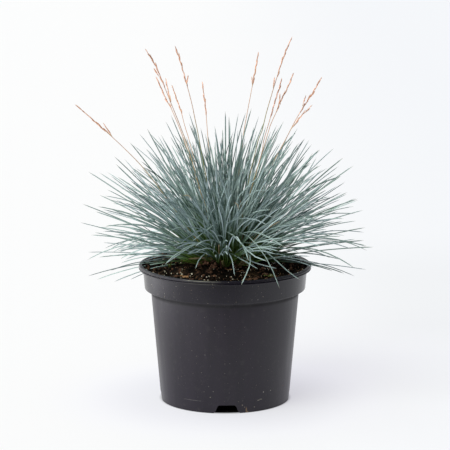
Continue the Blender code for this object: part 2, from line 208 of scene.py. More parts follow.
# Leaves that arch out of the front of the clump: pixels of the photo, each with its place in depth.
FRONT_LEAVES = [
    [(225.0, 232.0, -0.050), (243.0, 245.0, -0.082), (251.0, 254.5, -0.096), (267.5, 261.5, -0.112)],
    [(233.0, 234.6, -0.048), (248.0, 236.0, -0.075), (267.0, 259.5, -0.106), (279.7, 288.5, -0.126)],
    [(225.7, 250.7, -0.040), (228.0, 252.0, -0.052), (232.3, 260.3, -0.066), (234.7, 276.0, -0.074)],
    [(231.5, 247.8, -0.040), (254.7, 243.7, -0.072), (289.5, 272.7, -0.098), (300.8, 280.0, -0.104)],
    [(238.0, 250.5, -0.034), (249.3, 255.3, -0.056), (249.5, 266.0, -0.078), (241.3, 285.0, -0.098)],
    [(219.0, 242.0, -0.040), (206.5, 240.5, -0.062), (191.0, 246.5, -0.078), (163.7, 265.0, -0.092)],
    [(222.0, 224.0, -0.046), (209.6, 228.0, -0.074), (191.5, 242.0, -0.104)],
    [(212.0, 252.5, -0.036), (205.5, 253.3, -0.052), (199.0, 260.0, -0.062), (195.3, 269.0, -0.066)],
    [(226.0, 252.5, -0.030), (240.0, 258.5, -0.056), (258.0, 269.0, -0.078)],
    [(238.0, 255.5, -0.026), (256.0, 263.0, -0.050), (277.0, 268.5, -0.068)],
    [(216.0, 243.0, -0.036), (214.5, 246.0, -0.052), (213.3, 254.0, -0.060)],
    [(236.0, 214.0, -0.056), (252.0, 192.5, -0.080), (270.0, 190.0, -0.100)],
    [(228.0, 226.0, -0.048), (246.0, 218.0, -0.084), (262.0, 222.0, -0.112)],
    [(214.0, 233.0, -0.044), (198.0, 231.0, -0.074), (180.0, 243.0, -0.100)],
    [(226.0, 236.0, -0.040), (219.0, 208.0, -0.070), (230.0, 176.0, -0.090)],
    [(232.0, 230.0, -0.046), (238.0, 198.0, -0.076), (259.0, 176.5, -0.096)],
    [(238.0, 236.0, -0.040), (260.0, 211.0, -0.074), (284.0, 194.0, -0.098)],
    [(236.0, 234.0, -0.044), (252.0, 213.5, -0.076), (271.0, 209.5, -0.098)],
    [(240.0, 234.0, -0.046), (260.0, 215.5, -0.080), (274.0, 217.5, -0.100)],
    [(222.0, 240.0, -0.036), (228.0, 223.5, -0.066), (239.5, 216.5, -0.084)],
    [(234.0, 236.0, -0.048), (250.0, 219.0, -0.084), (267.0, 224.5, -0.110)],
    [(240.0, 243.0, -0.040), (262.0, 227.0, -0.076), (284.5, 213.5, -0.100)],
    [(242.0, 244.0, -0.042), (268.0, 225.0, -0.082), (288.0, 216.0, -0.104)],
    [(234.0, 240.0, -0.044), (250.0, 231.5, -0.074), (268.0, 237.0, -0.096), (285.0, 247.5, -0.106)],
    [(220.0, 236.0, -0.040), (212.0, 219.5, -0.070), (200.0, 214.0, -0.090)],
    [(216.0, 238.0, -0.038), (196.0, 219.0, -0.072), (172.0, 212.0, -0.094)],
    [(214.0, 240.0, -0.038), (190.0, 226.0, -0.074), (166.0, 232.0, -0.100)],
    [(224.0, 230.0, -0.044), (224.0, 212.0, -0.076), (217.0, 198.0, -0.096)],
]

# Leaves with a dead tip at the front, given in the same way, and the share of length that is dead.
DYING_LEAVES = [
    {"stops": [(230.0, 228.0, -0.060), (239.0, 208.5, -0.100), (233.5, 201.5, -0.106)], "dead": 0.12},
    {"stops": [(214.0, 256.5, -0.030), (203.0, 257.5, -0.052), (188.0, 259.0, -0.070)], "dead": 0.45},
    {"stops": [(206.0, 222.0, -0.060), (191.0, 197.5, -0.092), (182.5, 195.3, -0.096)], "dead": 0.10},
]

# Flower stalks: the main line and the side lines in pixels of the photo, and the depth of the tip in metres.
STALKS = [
    {
        "depth": -0.030,
        "line": [(74.7, 104), (110, 135), (136, 160), (151.4, 177.8), (160.6, 190)],
        "sides": [[(96, 123), (111, 135.5)], [(103, 122.5), (112, 136.5)]],
    },
    {
        "depth": -0.055,
        "line": [(144.8, 48.1), (156, 66.4), (160.9, 78), (171.6, 104.8), (180.5, 127.1), (191.3, 158.4)],
        "sides": [[(153.6, 68.7), (159, 76.5)]],
    },
    {
        "depth": 0.070,
        "head": 0.030,
        "line": [(155.4, 75.5), (166.3, 99.5), (171.6, 109.3), (181, 132), (189, 156)],
        "sides": [[(165.6, 77.6), (168.5, 92), (171.6, 106)]],
    },
    {
        "depth": 0.085,
        "head": 0.027,
        "line": [(171.7, 84.3), (176, 97.7), (180.5, 109.3), (185, 127), (190.4, 145)],
    },
    {
        "depth": -0.015,
        "line": [(174.7, 45), (180.5, 62), (187.7, 87.9), (192.1, 104.8), (195.7, 122.7), (199.3, 140.5)],
        "sides": [[(187.6, 76.6), (186.8, 84.5)]],
        "green_below": 0.72,
    },
    {
        "depth": 0.050,
        "head": 0.027,
        "line": [(202.3, 81), (203.9, 94.6), (205.8, 110.9), (207.7, 134.8), (209.7, 153.9)],
    },
    {
        "depth": 0.075,
        "head": 0.027,
        "line": [(258.7, 51.6), (253.2, 81.2), (250.3, 96.5), (247.4, 111.8), (244.1, 130), (241.2, 154)],
        "sides": [[(251.6, 76.4), (252.6, 86)]],
    },
    {
        "depth": -0.025,
        "line": [(292.7, 35.8), (285.2, 52.5), (275.7, 81.2), (266.1, 113.8), (262.3, 130), (256.5, 147.2)],
        "sides": [[(274.5, 76.6), (273.2, 88)]],
        "green_below": 0.78,
    },
    {
        "depth": -0.085,
        "line": [(282.1, 77.6), (278.5, 90.8), (274.2, 104.2), (269, 122.4), (263.2, 142.4), (260.4, 157.8)],
    },
    {
        "depth": 0.060,
        "line": [(293.9, 72.3), (290.5, 81.2), (285.2, 92.7), (279.5, 103.2), (273.8, 118.5), (268, 132.9)],
        "sides": [[(279.4, 96.1), (280, 102)]],
    },
    {
        "depth": -0.045,
        "line": [(322.3, 76.5), (311.1, 95.6), (298.6, 114.7), (285.3, 140), (275.7, 157.8), (267, 176.7)],
        "sides": [[(306, 95), (302.5, 106)], [(312.6, 104.5), (305.6, 111.6), (299.8, 117.6), (290, 130.5)]],
    },
]
STALK_WIDTH = 0.00106
STALK_SIDES = 6
STALK_STEPS = 26
STALK_TAPER = 0.45
SIDE_WIDTH = 0.0006
SIDE_FORWARD = 0.001
SIDE_HEAD_SHARE = 0.62
HEAD_LENGTH = 0.036
SPIKELET_SPACING = 0.0042
SPIKELET_LENGTH = 0.0095
TIP_SPIKELET_LENGTH = 0.0090
SCALES_PER_SPIKELET = 5
SCALE_SPACING = 0.0012
SCALE_LENGTH = 0.0050
SCALE_SHORTENING = 0.0003
SCALE_WIDTH = 0.00100

# Heaps of peat: pixel, height in metres, and how dry and brown at most.
HEAPS = [
    (145, 264, 0.0040, 0.8), (149, 262, 0.0055, 0.8), (154, 260, 0.0045, 0.9), (159, 259, 0.0055, 0.8),
    (165, 258, 0.0045, 0.8), (296, 257, 0.0060, 0.8), (290, 258, 0.0040, 0.7), (205, 266, 0.0060, 1.5),
    (210, 267, 0.0085, 1.8), (215, 268, 0.0085, 1.7), (220, 267, 0.0085, 1.9), (225, 267, 0.0075, 1.6),
    (230, 266, 0.0060, 1.4), (213, 270, 0.0050, 1.5), (200, 268, 0.0035, 0.9), (236, 267, 0.0035, 1.2),
]

# The largest bark chips: pixel, size in metres and how pale. Then the pixels of the seedling and the moss.
LARGE_CHIPS = [(185.5, 277.5, 0.0028, 1.0), (181.0, 276.5, 0.0016, 0.9), (211.0, 268.0, 0.0020, 0.5)]
SEEDLING_PIXEL = (170, 268)
MOSS_PIXEL = (269, 276)

# Marks on the front of the pot: pixel, half size across and up in metres, strength and colour.
POT_MARKS = [
    (246.3, 410.5, 0.0006, 0.0030, 0.8, (0.15, 0.095, 0.05)),
    (247.6, 411.5, 0.0009, 0.0006, 0.7, (0.20, 0.14, 0.08)),
    (258.6, 400.2, 0.0012, 0.0004, 0.6, (0.22, 0.20, 0.17)),
    (260.8, 399.2, 0.0010, 0.0004, 0.6, (0.20, 0.19, 0.16)),
    (263.5, 392.0, 0.0004, 0.0005, 0.7, (0.40, 0.38, 0.35)),
    (270.6, 390.4, 0.0004, 0.0005, 0.6, (0.30, 0.28, 0.25)),
    (242.4, 405.2, 0.0005, 0.0005, 0.6, (0.28, 0.24, 0.19)),
    (244.6, 407.2, 0.0004, 0.0004, 0.6, (0.24, 0.20, 0.15)),
    (254.4, 407.0, 0.0005, 0.0005, 0.6, (0.26, 0.24, 0.20)),
    (210.2, 397.4, 0.0005, 0.0004, 0.5, (0.26, 0.24, 0.20)),
    (213.2, 391.6, 0.0004, 0.0005, 0.6, (0.16, 0.15, 0.14)),
    (208.6, 386.6, 0.0004, 0.0004, 0.5, (0.16, 0.15, 0.14)),
    (204.0, 391.8, 0.0004, 0.0004, 0.5, (0.16, 0.15, 0.14)),
    (282.6, 385.6, 0.0010, 0.0006, 0.9, (0.034, 0.004, 0.006)),
    (279.5, 392.4, 0.0006, 0.0006, 0.8, (0.008, 0.003, 0.003)),
    (284.5, 391.5, 0.0006, 0.0007, 0.9, (0.010, 0.003, 0.003)),
    (270.6, 302.3, 0.0007, 0.0006, 0.9, (0.004, 0.003, 0.003)),
    (277.6, 302.0, 0.0008, 0.0007, 0.9, (0.004, 0.003, 0.003)),
    (283.6, 301.0, 0.0008, 0.0006, 0.9, (0.004, 0.003, 0.003)),
    (282.4, 305.5, 0.0007, 0.0007, 0.9, (0.004, 0.003, 0.003)),
    (192.0, 400.0, 0.0150, 0.0003, 0.4, (0.120, 0.116, 0.116)),
    (205.0, 355.0, 0.0005, 0.0011, 0.3, (0.10, 0.095, 0.095)),
]
MARK_DEPTH = 0.006

# How far below the rim the lip's shine starts and is full, and the same for the painted shade under the
# ledge.
LIP_SHINE = (0.0024, 0.0016)
PAINTED_LEDGE_SHADE = (0.0040, 0.0005)

# Specks of dust on the pot: cells per metre, size in cells, share of cells left bare, and strength.
DUST = [(200.0, 0.085, 0.84, 0.90), (330.0, 0.09, 0.86, 0.80), (620.0, 0.11, 0.72, 0.35)]

# Stage: how the room's light changes along each axis, from where to where, and its strength at both.
ROOM_LIGHT = [("Y", -0.95, 0.15, 0.64, 1.0), ("X", -0.90, 0.0, 1.75, 0.34), ("Z", 0.1, 0.8, 1.0, 1.5)]
FLOOR_HALF_SIZE = 9.0


def soil_height(x, y):
    """Height of the soil's surface, low at the wall and mounded under the crown, without its crumbs."""
    out = (math.hypot(x, y) - SEAT_RADIUS) / (SOIL_EDGE_RADIUS - SEAT_RADIUS)
    out = min(max(out, 0.0), 1.0)
    return SEAT_HEIGHT + (SOIL_EDGE_HEIGHT - SEAT_HEIGHT) * (3 * out**2 - 2 * out**3)


def rough_ground(x, y):
    """Height of the loose soil, with its clods and hollows."""
    clods = noise.fractal(Vector((x, y, 0)) * CLODS_PER_METRE, 0.6, 2.1, 4)
    hollows = noise.noise(Vector((x, y, 0.3)) * HOLLOWS_PER_METRE)
    return soil_height(x, y) + CLOD_RELIEF * clods + HOLLOW_RELIEF * hollows - HOLLOW_RELIEF / 2


def seen_at(u, v, y):
    """The point over the plane at depth y that the photo shows at pixel (u, v)."""
    across = (u - PHOTO_PIXELS / 2) / FOCAL_PIXELS
    up = (PHOTO_PIXELS / 2 - v) / FOCAL_PIXELS
    back = y + CAMERA_BACK
    cosine, sine = math.cos(CAMERA_PITCH), math.sin(CAMERA_PITCH)
    rise = back * (up * cosine - sine) / (cosine + up * sine)
    depth = back * cosine - rise * sine
    return Vector((across * depth, y, CAMERA_HEIGHT + rise))


def pixel_row(place):
    """The row of the photo in which a place is seen."""
    back = place[1] + CAMERA_BACK
    below = CAMERA_HEIGHT - place[2]
    depth = back * math.cos(CAMERA_PITCH) + below * math.sin(CAMERA_PITCH)
    up = back * math.sin(CAMERA_PITCH) - below * math.cos(CAMERA_PITCH)
    return PHOTO_PIXELS / 2 - FOCAL_PIXELS * up / depth


def on_soil(u, v):
    """The point of the soil that the photo shows at a pixel, or the nearest point inside the pot's wall."""
    for y in np.linspace(-SOIL_EDGE_RADIUS, SOIL_EDGE_RADIUS, SIGHT_STEPS):
        place = seen_at(u, v, float(y))
        if place.z <= rough_ground(place.x, place.y):
            break
    inside = min(SOIL_REACH / max(place.xy.length, 1e-6), 1.0)
    return on_ground(place.x * inside, place.y * inside)


def on_pot(u, v):
    """The point of the pot's front wall that the photo shows at a pixel."""
    place = seen_at(u, v, -BASE_RADIUS)
    for _ in range(8):
        if place.z < SHOULDER_HEIGHT:
            radius = BASE_RADIUS + (SHOULDER_RADIUS - BASE_RADIUS) * place.z / SHOULDER_HEIGHT
        else:
            radius = BAND_TOP_RADIUS
        place = seen_at(u, v, -math.sqrt(max(radius**2 - place.x**2, 0.0)))
    return place


def heading(lean, azimuth):
    """The direction that leans from upright by an angle, towards an azimuth."""
    out = math.sin(lean)
    return Vector((out * math.cos(azimuth), out * math.sin(azimuth), math.cos(lean)))


def smooth_route(stops, shares):
    """Points at the given shares of the length of a smooth curve through the stops."""
    stops = np.array([list(stop) for stop in stops])
    before = 2 * stops[0] - stops[1]
    after = 2 * stops[-1] - stops[-2]
    held = np.concatenate([[before], stops, [after]])
    fine = []
    for a, b, c, d in zip(held, held[1:], held[2:], held[3:]):
        for t in np.linspace(0, 1, 16, endpoint=False):
            bend = (2 * a - 5 * b + 4 * c - d) * t**2 + (3 * b - 3 * c + d - a) * t**3
            fine.append(b + 0.5 * ((c - a) * t + bend))
    fine.append(stops[-1])
    fine = np.array(fine)
    run = np.concatenate([[0], np.cumsum(np.linalg.norm(np.diff(fine, axis=0), axis=1))])
    return np.stack([np.interp(shares * run[-1], run, fine[:, axis]) for axis in range(3)], axis=1)


def arched_route(base, tip, bend, sway, shares):
    """Points of an arc from base to tip that turns by an angle, droops outwards and sways to one side."""
    chord = tip - base
    side = Vector((-chord.y, chord.x, 0)).normalized()
    lift = chord.normalized().cross(side)
    middle = (base + tip) / 2 + lift * (chord.length / 2 * math.tan(bend / 2)) + side * (chord.length * sway)
    t = shares[:, None]
    return (1 - t) ** 2 * np.array(base) + 2 * t * (1 - t) * np.array(middle) + t**2 * np.array(tip)


class Shape:
    """A small closed shape, kept as arrays so that many copies of it can be bent or placed."""

    def __init__(self, bm):
        bmesh.ops.recalc_face_normals(bm, faces=bm.faces)
        bm.verts.index_update()
        self.points = np.array([vert.co[:] for vert in bm.verts])
        self.sizes = np.array([len(face.verts) for face in bm.faces])
        self.corners = np.array([vert.index for face in bm.faces for vert in face.verts])
        self.shares, self.ring = np.unique(np.round(self.points[:, 2], 5), return_inverse=True)
        bm.free()

    def along(self, route, width, roll=0.0, twist=0.0):
        """The shape's points with its Z axis laid on a route, which has one point for each of its shares."""
        run = np.gradient(route, axis=0)
        run /= np.linalg.norm(run, axis=1)[:, None]
        chord = route[-1] - route[0]
        level = np.array([-chord[1] - 1e-6, chord[0], 0.0])
        side = level - run * (run @ level)[:, None]
        side /= np.linalg.norm(side, axis=1)[:, None]
        turn = (roll + twist * self.shares)[:, None]
        across = side * np.cos(turn) + np.cross(run, side) * np.sin(turn)
        over = np.cross(run, across)
        flat = self.points[:, :2] * width
        return route[self.ring] + across[self.ring] * flat[:, :1] + over[self.ring] * flat[:, 1:]

    def placed(self, place, turn, scale):
        return (self.points * scale) @ np.array(turn).T + np.array(place)


class Heap:
    """Copies of small shapes, gathered into one mesh, with marks of three numbers that the finish reads."""

    def __init__(self):
        self.points, self.corners, self.sizes, self.marks = [], [], [], []
        self.total = 0

    def add(self, shape, points, mark=(0, 0, 0)):
        self.corners.append(shape.corners + self.total)
        self.points.append(points)
        self.sizes.append(shape.sizes)
        self.marks.append(np.broadcast_to(np.asarray(mark, dtype=float), points.shape))
        self.total += len(points)

    def piece(self, name, material, smooth_below):
        points = np.concatenate(self.points)
        corners = np.concatenate(self.corners)
        sizes = np.concatenate(self.sizes)
        mesh = bpy.data.meshes.new(name)
        mesh.vertices.add(len(points))
        mesh.vertices.foreach_set("co", points.reshape(-1))
        mesh.loops.add(len(corners))
        mesh.loops.foreach_set("vertex_index", corners)
        mesh.polygons.add(len(sizes))
        mesh.polygons.foreach_set("loop_start", np.concatenate([[0], np.cumsum(sizes)[:-1]]))
        mesh.update(calc_edges=True)
        marks = mesh.attributes.new("marks", "FLOAT_COLOR", "POINT")
        opaque = np.ones((len(points), 1))
        colours = np.concatenate([np.concatenate(self.marks), opaque], axis=1)
        marks.data.foreach_set("color", colours.reshape(-1))
        return finished(name, mesh, material, smooth_below)


def finished(name, mesh, material, smooth_below=SMOOTH_BELOW):
    """An object from a mesh, shaded smooth where its faces meet by less than an angle in degrees."""
    mesh.materials.append(material)
    mesh.shade_smooth()
    mesh.set_sharp_from_angle(angle=math.radians(smooth_below))
    made = bpy.data.objects.new(name, mesh)
    bpy.context.scene.collection.objects.link(made)
    return made


def piece_from(name, bm, material, smooth_below=SMOOTH_BELOW):
    mesh = bpy.data.meshes.new(name)
    bm.to_mesh(mesh)
    bm.free()
    return finished(name, mesh, material, smooth_below)


def drawn_out(section, shares, widths):
    """A flat section drawn up Z through shares of 1, scaled by a width at each, and closed in a point."""
    bm = bmesh.new()
    foot = bm.faces.new([bm.verts.new((x * widths[0], y * widths[0], 0)) for x, y in section])
    top = foot
    for share, width in zip([*shares[1:], 1.0], [*widths[1:], 0.0]):
        grown = bmesh.ops.extrude_face_region(bm, geom=[top])["geom"]
        if top is not foot:
            bmesh.ops.delete(bm, geom=[top], context="FACES_ONLY")
        top = next(item for item in grown if isinstance(item, bmesh.types.BMFace))
        for vert, (x, y) in zip(top.verts, section):
            vert.co = (x * width, y * width, share)
    bmesh.ops.pointmerge(bm, verts=top.verts[:], merge_co=(0, 0, 1))
    return bm


def leaf_shape():
    """A folded leaf, four-sided, with a keel below and a groove above, and a long fine tip."""
    section = [(-0.46, 0.18), (0.0, -0.40), (0.46, 0.18), (0.0, -0.04)]
    shares = [0.0, 0.06, 0.16, 0.28, 0.40, 0.52, 0.64, 0.76, 0.87, 0.955]
    widths = [0.75, 0.88, 0.97, 1.0, 1.0, 1.0, 0.99, 0.96, 0.90, 0.72]
    return Shape(drawn_out(section, shares, widths))


def scale_shape():
    """One pointed scale of a spikelet, boat-shaped."""
    section = [(-0.5, 0.0), (-0.22, -0.30), (0.22, -0.30), (0.5, 0.0), (0.0, 0.16)]
    return Shape(drawn_out(section, [0.0, 0.14, 0.38, 0.68, 0.88], [0.45, 0.85, 1.0, 0.66, 0.28]))


def stalk_shape():
    """A thin round stalk in many short steps."""
    turns = np.linspace(0, 2 * math.pi, STALK_SIDES, endpoint=False)
    section = [(0.5 * math.cos(turn), 0.5 * math.sin(turn)) for turn in turns]
    shares = np.linspace(0, 0.97, STALK_STEPS)
    return Shape(drawn_out(section, list(shares), list(1.0 - STALK_TAPER * shares)))


def crumb_shapes(count, squash, draw):
    """Lumps of twenty faces, each knocked out of round in its own way."""
    shapes = []
    for _ in range(count):
        bm = bmesh.new()
        bmesh.ops.create_icosphere(bm, subdivisions=1, radius=1.0)
        for vert in bm.verts:
            vert.co *= draw.uniform(0.65, 1.25)
            vert.co.z *= squash
        shapes.append(Shape(bm))
    return shapes


def chip_shapes(count, draw):
    """Splinters of bark: flat bevelled blocks with their corners moved."""
    shapes = []
    for _ in range(count):
        bm = bmesh.new()
        bmesh.ops.create_cube(bm, size=1.0)
        for vert in bm.verts:
            vert.co.x *= 2.0 * draw.uniform(0.7, 1.2)
            vert.co.y *= 0.85 * draw.uniform(0.6, 1.2)
            vert.co.z *= 0.34 * draw.uniform(0.7, 1.3)
        bmesh.ops.bevel(
            bm, geom=bm.edges[:], offset=0.09, segments=1, profile=0.5, affect="EDGES", material=-1
        )
        shapes.append(Shape(bm))
    return shapes


class Finish:
    """A material of one surface shader, with short ways to add the patterns that feed it."""

    def __init__(self, name, roughness, specular):
        self.material = bpy.data.materials.new(name)
        self.material.use_nodes = True
        self.tree = self.material.node_tree
        self.surface = self.tree.nodes["Principled BSDF"]
        self.surface.inputs["Roughness"].default_value = roughness
        self.surface.inputs["Specular IOR Level"].default_value = specular
        self.places = self.tree.nodes.new("ShaderNodeTexCoord").outputs["Object"]

    def feed(self, socket, value):
        """Links a pattern to a socket, or sets the socket to a number or a colour."""
        if isinstance(value, bpy.types.NodeSocket):
            self.tree.links.new(value, socket)
        elif isinstance(value, tuple) and socket.type == "RGBA":
            socket.default_value = (*value, 1.0)
        else:
            socket.default_value = value

    def node(self, kind, **settings):
        made = self.tree.nodes.new(kind)
        for name, value in settings.items():
            setattr(made, name, value)
        return made

    def squeezed(self, scale):
        """The places scaled by three numbers, so that a pattern on them is drawn out along an axis."""
        made = self.node("ShaderNodeMapping")
        made.inputs["Scale"].default_value = scale
        self.feed(made.inputs["Vector"], self.places)
        return made.outputs["Vector"]

    def clouds(self, scale, detail=3.0, places=None):
        made = self.node("ShaderNodeTexNoise")
        made.inputs["Scale"].default_value = scale
        made.inputs["Detail"].default_value = detail
        self.feed(made.inputs["Vector"], places or self.places)
        return made.outputs["Fac"]

    def axes(self):
        """The three numbers of the places, by the names X, Y and Z."""
        made = self.node("ShaderNodeSeparateXYZ")
        self.feed(made.inputs[0], self.places)
        return made.outputs

    def length(self, places):
        made = self.node("ShaderNodeVectorMath", operation="LENGTH")
        self.feed(made.inputs[0], places)
        return made.outputs["Value"]

    def round_wall(self, radius):
        """Places on a wall round Z, as how far round it from the front and how far up."""
        axes = self.axes()
        turn = self.calc("ARCTAN2", axes["X"], self.times(axes["Y"], -1.0))
        made = self.node("ShaderNodeCombineXYZ")
        self.feed(made.inputs[0], self.times(turn, radius))
        self.feed(made.inputs[1], axes["Z"])
        return made.outputs["Vector"]

    def cells(self, scale, places):
        """Distance from the middle of the nearest flat cell, and that cell's own random colour."""
        made = self.node("ShaderNodeTexVoronoi", voronoi_dimensions="2D")
        made.inputs["Scale"].default_value = scale
        self.feed(made.inputs["Vector"], places)
        return made.outputs["Distance"], made.outputs["Color"]

    def step(self, value, low, high, start=0.0, end=1.0):
        """Runs smoothly from start to end while the value runs from low to high."""
        made = self.node("ShaderNodeMapRange", interpolation_type="SMOOTHSTEP")
        for name, number in (("From Min", low), ("From Max", high), ("To Min", start), ("To Max", end)):
            made.inputs[name].default_value = number
        self.feed(made.inputs["Value"], value)
        return made.outputs["Result"]

    def calc(self, operation, first, second):
        made = self.node("ShaderNodeMath", operation=operation)
        self.feed(made.inputs[0], first)
        self.feed(made.inputs[1], second)
        return made.outputs[0]

    def times(self, first, *others):
        for other in others:
            first = self.calc("MULTIPLY", first, other)
        return first

    def blend(self, share, first, second):
        made = self.node("ShaderNodeMix", data_type="RGBA")
        self.feed(made.inputs[0], share)
        self.feed(made.inputs[6], first)
        self.feed(made.inputs[7], second)
        return made.outputs[2]

    def part(self, colour, channel):
        made = self.node("ShaderNodeSeparateColor")
        self.feed(made.inputs["Color"], colour)
        return made.outputs[channel]

    def mark(self, channel):
        """One of the three numbers that a heap's pieces carry: Red, Green or Blue."""
        made = self.node("ShaderNodeAttribute", attribute_name="marks")
        return self.part(made.outputs["Color"], channel)

    def spot(self, centre, half, edge):
        """A soft-edged patch round a place, with its half sizes along the three axes."""
        made = self.node("ShaderNodeMapping", vector_type="TEXTURE")
        made.inputs["Location"].default_value = centre
        made.inputs["Scale"].default_value = half
        self.feed(made.inputs["Vector"], self.places)
        torn = self.calc("ADD", self.length(made.outputs["Vector"]), edge)
        return self.step(torn, 1.3, 0.8)

    def done(self, colour, height=None, depth=0.0, roughness=None):
        """Feeds the surface its colour, and its relief of a depth in metres where it has one."""
        self.feed(self.surface.inputs["Base Color"], colour)
        if roughness is not None:
            self.feed(self.surface.inputs["Roughness"], roughness)
        if height is not None:
            relief = self.node("ShaderNodeBump")
            relief.inputs["Distance"].default_value = depth
            self.feed(relief.inputs["Height"], height)
            self.feed(self.surface.inputs["Normal"], relief.outputs["Normal"])
        return self.material


def black_plastic():
    """Moulded black plastic, darkest under the band with painted shade, with flow streaks, grain, dust and
    the photo's marks.
    """
    look = Finish("black_plastic", roughness=0.42, specular=0.45)
    height = look.axes()["Z"]
    on_body = look.step(height, BAND_BOTTOM, SHOULDER_HEIGHT)
    on_band = look.step(height, SHOULDER_HEIGHT, BAND_BOTTOM)
    on_lip = look.step(height, *(POT_HEIGHT - below for below in LIP_SHINE))
    under_ledge = look.step(height, *(SHOULDER_HEIGHT - below for below in PAINTED_LEDGE_SHADE))
    painted_shade_under_ledge = look.times(under_ledge, on_body)
    streaks = look.clouds(95.0, 4.0, look.squeezed((1.0, 1.0, 0.05)))
    patches = look.clouds(22.0, 3.0)
    grain = look.clouds(2600.0, 2.0)
    worn = look.blend(look.step(streaks, 0.3, 0.75), (0.0042, 0.0022, 0.0084), (0.0078, 0.0046, 0.0130))
    colour = look.blend(on_body, (0.0022, 0.0008, 0.0062), worn)
    # Painted shade: the body is darkened just under the band's ledge.
    colour = look.blend(look.times(painted_shade_under_ledge, 0.65), colour, (0.0006, 0.0004, 0.0008))
    film = look.step(look.clouds(140.0, 5.0), 0.56, 0.80, 0.0, 0.10)
    colour = look.blend(look.times(film, patches), colour, (0.20, 0.19, 0.18))
    colour = dusted(look, colour, patches, on_band)
    torn = look.step(look.clouds(900.0, 3.0), 0.3, 0.7, -0.25, 0.25)
    for u, v, half_across, half_up, strength, tone in POT_MARKS:
        patch = look.spot(on_pot(u, v), (half_across, MARK_DEPTH, half_up), torn)
        colour = look.blend(look.times(patch, strength), colour, tone)
    roughness = look.step(streaks, 0.25, 0.8, 0.31, 0.43)
    roughness = look.calc("SUBTRACT", roughness, look.times(on_band, 0.12))
    roughness = look.calc("ADD", roughness, look.times(painted_shade_under_ledge, 0.30))
    roughness = look.calc("SUBTRACT", roughness, look.times(on_lip, 0.06))
    relief = look.calc("ADD", look.times(grain, 0.12), look.times(streaks, 0.6))
    return look.done(colour, relief, 0.00018, roughness)


def dusted(look, colour, patches, on_band):
    """A colour with pale and brown specks of three sizes on it, thicker in patches and on the band."""
    dusty = look.times(look.step(patches, 0.35, 0.58, 0.30, 1.0), look.calc("MAXIMUM", on_band, 0.34))
    wall = look.round_wall(SHOULDER_RADIUS)
    for scale, size, bare, strength in DUST:
        distance, chosen = look.cells(scale, wall)
        dots = look.step(distance, size, size * 0.5)
        dots = look.times(dots, look.step(look.part(chosen, "Red"), bare, bare + 0.10))
        dots = look.times(dots, look.times(dusty, strength))
        speck = look.blend(look.part(chosen, "Green"), (0.42, 0.40, 0.37), (0.24, 0.17, 0.11))
        colour = look.blend(dots, colour, speck)
    return colour


def damp_peat():
    """Peat: near black where it is damp, brown where it has dried, with fine fibres and crumbs."""
    look = Finish("damp_peat", roughness=0.92, specular=0.07)
    tint = look.calc("ADD", look.mark("Green"), look.step(look.clouds(420.0, 4.0), 0.35, 0.7, -0.25, 0.25))
    colour = look.blend(look.step(tint, 0.15, 0.95), (0.0040, 0.0027, 0.0020), (0.130, 0.068, 0.047))
    dry = look.step(look.clouds(70.0, 3.0), 0.55, 0.70)
    colour = look.blend(look.times(dry, 0.20), colour, (0.12, 0.072, 0.045))
    return look.done(colour, look.clouds(1500.0, 3.0), 0.0007)


def bark():
    """Bark splinters, from dark red-brown to a fresh tan, with a grain along them."""
    look = Finish("bark", roughness=0.8, specular=0.3)
    grain = look.clouds(700.0, 4.0, look.squeezed((1.0, 0.3, 1.0)))
    colour = look.blend(look.mark("Green"), (0.030, 0.015, 0.008), (0.34, 0.19, 0.10))
    colour = look.blend(look.step(grain, 0.45, 0.7, 0.0, 0.5), colour, (0.012, 0.007, 0.005))
    return look.done(colour, grain, 0.0004)


def perlite():
    """Perlite: porous white grains, some of them stained by the peat."""
    look = Finish("perlite", roughness=0.85, specular=0.3)
    pores = look.clouds(2400.0, 3.0)
    colour = look.blend(look.mark("Green"), (0.74, 0.69, 0.60), (0.32, 0.26, 0.20))
    colour = look.blend(look.step(pores, 0.5, 0.75, 0.0, 0.5), colour, (0.12, 0.09, 0.07))
    return look.done(colour, pores, 0.0003)


def moss_green():
    """Moss and seedling: yellow-green, stained with brown."""
    look = Finish("moss_green", roughness=0.7, specular=0.3)
    colour = look.blend(look.mark("Green"), (0.045, 0.075, 0.014), (0.16, 0.20, 0.045))
    colour = look.blend(look.step(look.clouds(900.0), 0.5, 0.8, 0.0, 0.5), colour, (0.09, 0.06, 0.02))
    return look.done(colour, look.clouds(1800.0), 0.0003)


def blue_leaf():
    """Waxy leaves: green at the foot and darkened there as painted shade, blue-grey with a pale bloom above,
    tan at the tip, and some dead.
    """
    look = Finish("blue_leaf", roughness=0.58, specular=0.20)
    along, tint, dead = look.mark("Red"), look.mark("Green"), look.mark("Blue")
    # Towards the foot the leaves turn greener, their own colour, and darker, painted shade deep in the clump.
    inner = look.blend(tint, (0.005, 0.029, 0.002), (0.100, 0.248, 0.092))
    outer = look.blend(tint, (0.053, 0.104, 0.086), (0.470, 0.585, 0.626))
    live = look.blend(look.step(along, 0.10, 0.66), inner, outer)
    bloom = look.step(look.clouds(260.0, 4.0), 0.38, 0.68)
    bloom = look.times(bloom, look.step(along, 0.15, 0.60, 0.05, 0.32))
    live = look.blend(bloom, live, (0.43, 0.54, 0.55))
    # The green foot is the leaves' own colour, darkened as painted shade of the crown.
    green = look.blend(tint, (0.028, 0.058, 0.005), (0.150, 0.245, 0.040))
    live = look.blend(look.step(along, 0.11, 0.48), green, live)
    live = look.blend(look.step(along, 0.66, 0.97, 0.0, 0.30), live, (0.150, 0.192, 0.226))
    live = look.blend(look.step(along, 0.96, 1.0, 0.0, 0.6), live, (0.30, 0.26, 0.18))
    straw = look.blend(look.clouds(500.0, 3.0), (0.26, 0.17, 0.085), (0.50, 0.38, 0.23))
    colour = look.blend(dead, live, straw)
    return look.done(colour, look.clouds(1700.0, 2.0), 0.00010)


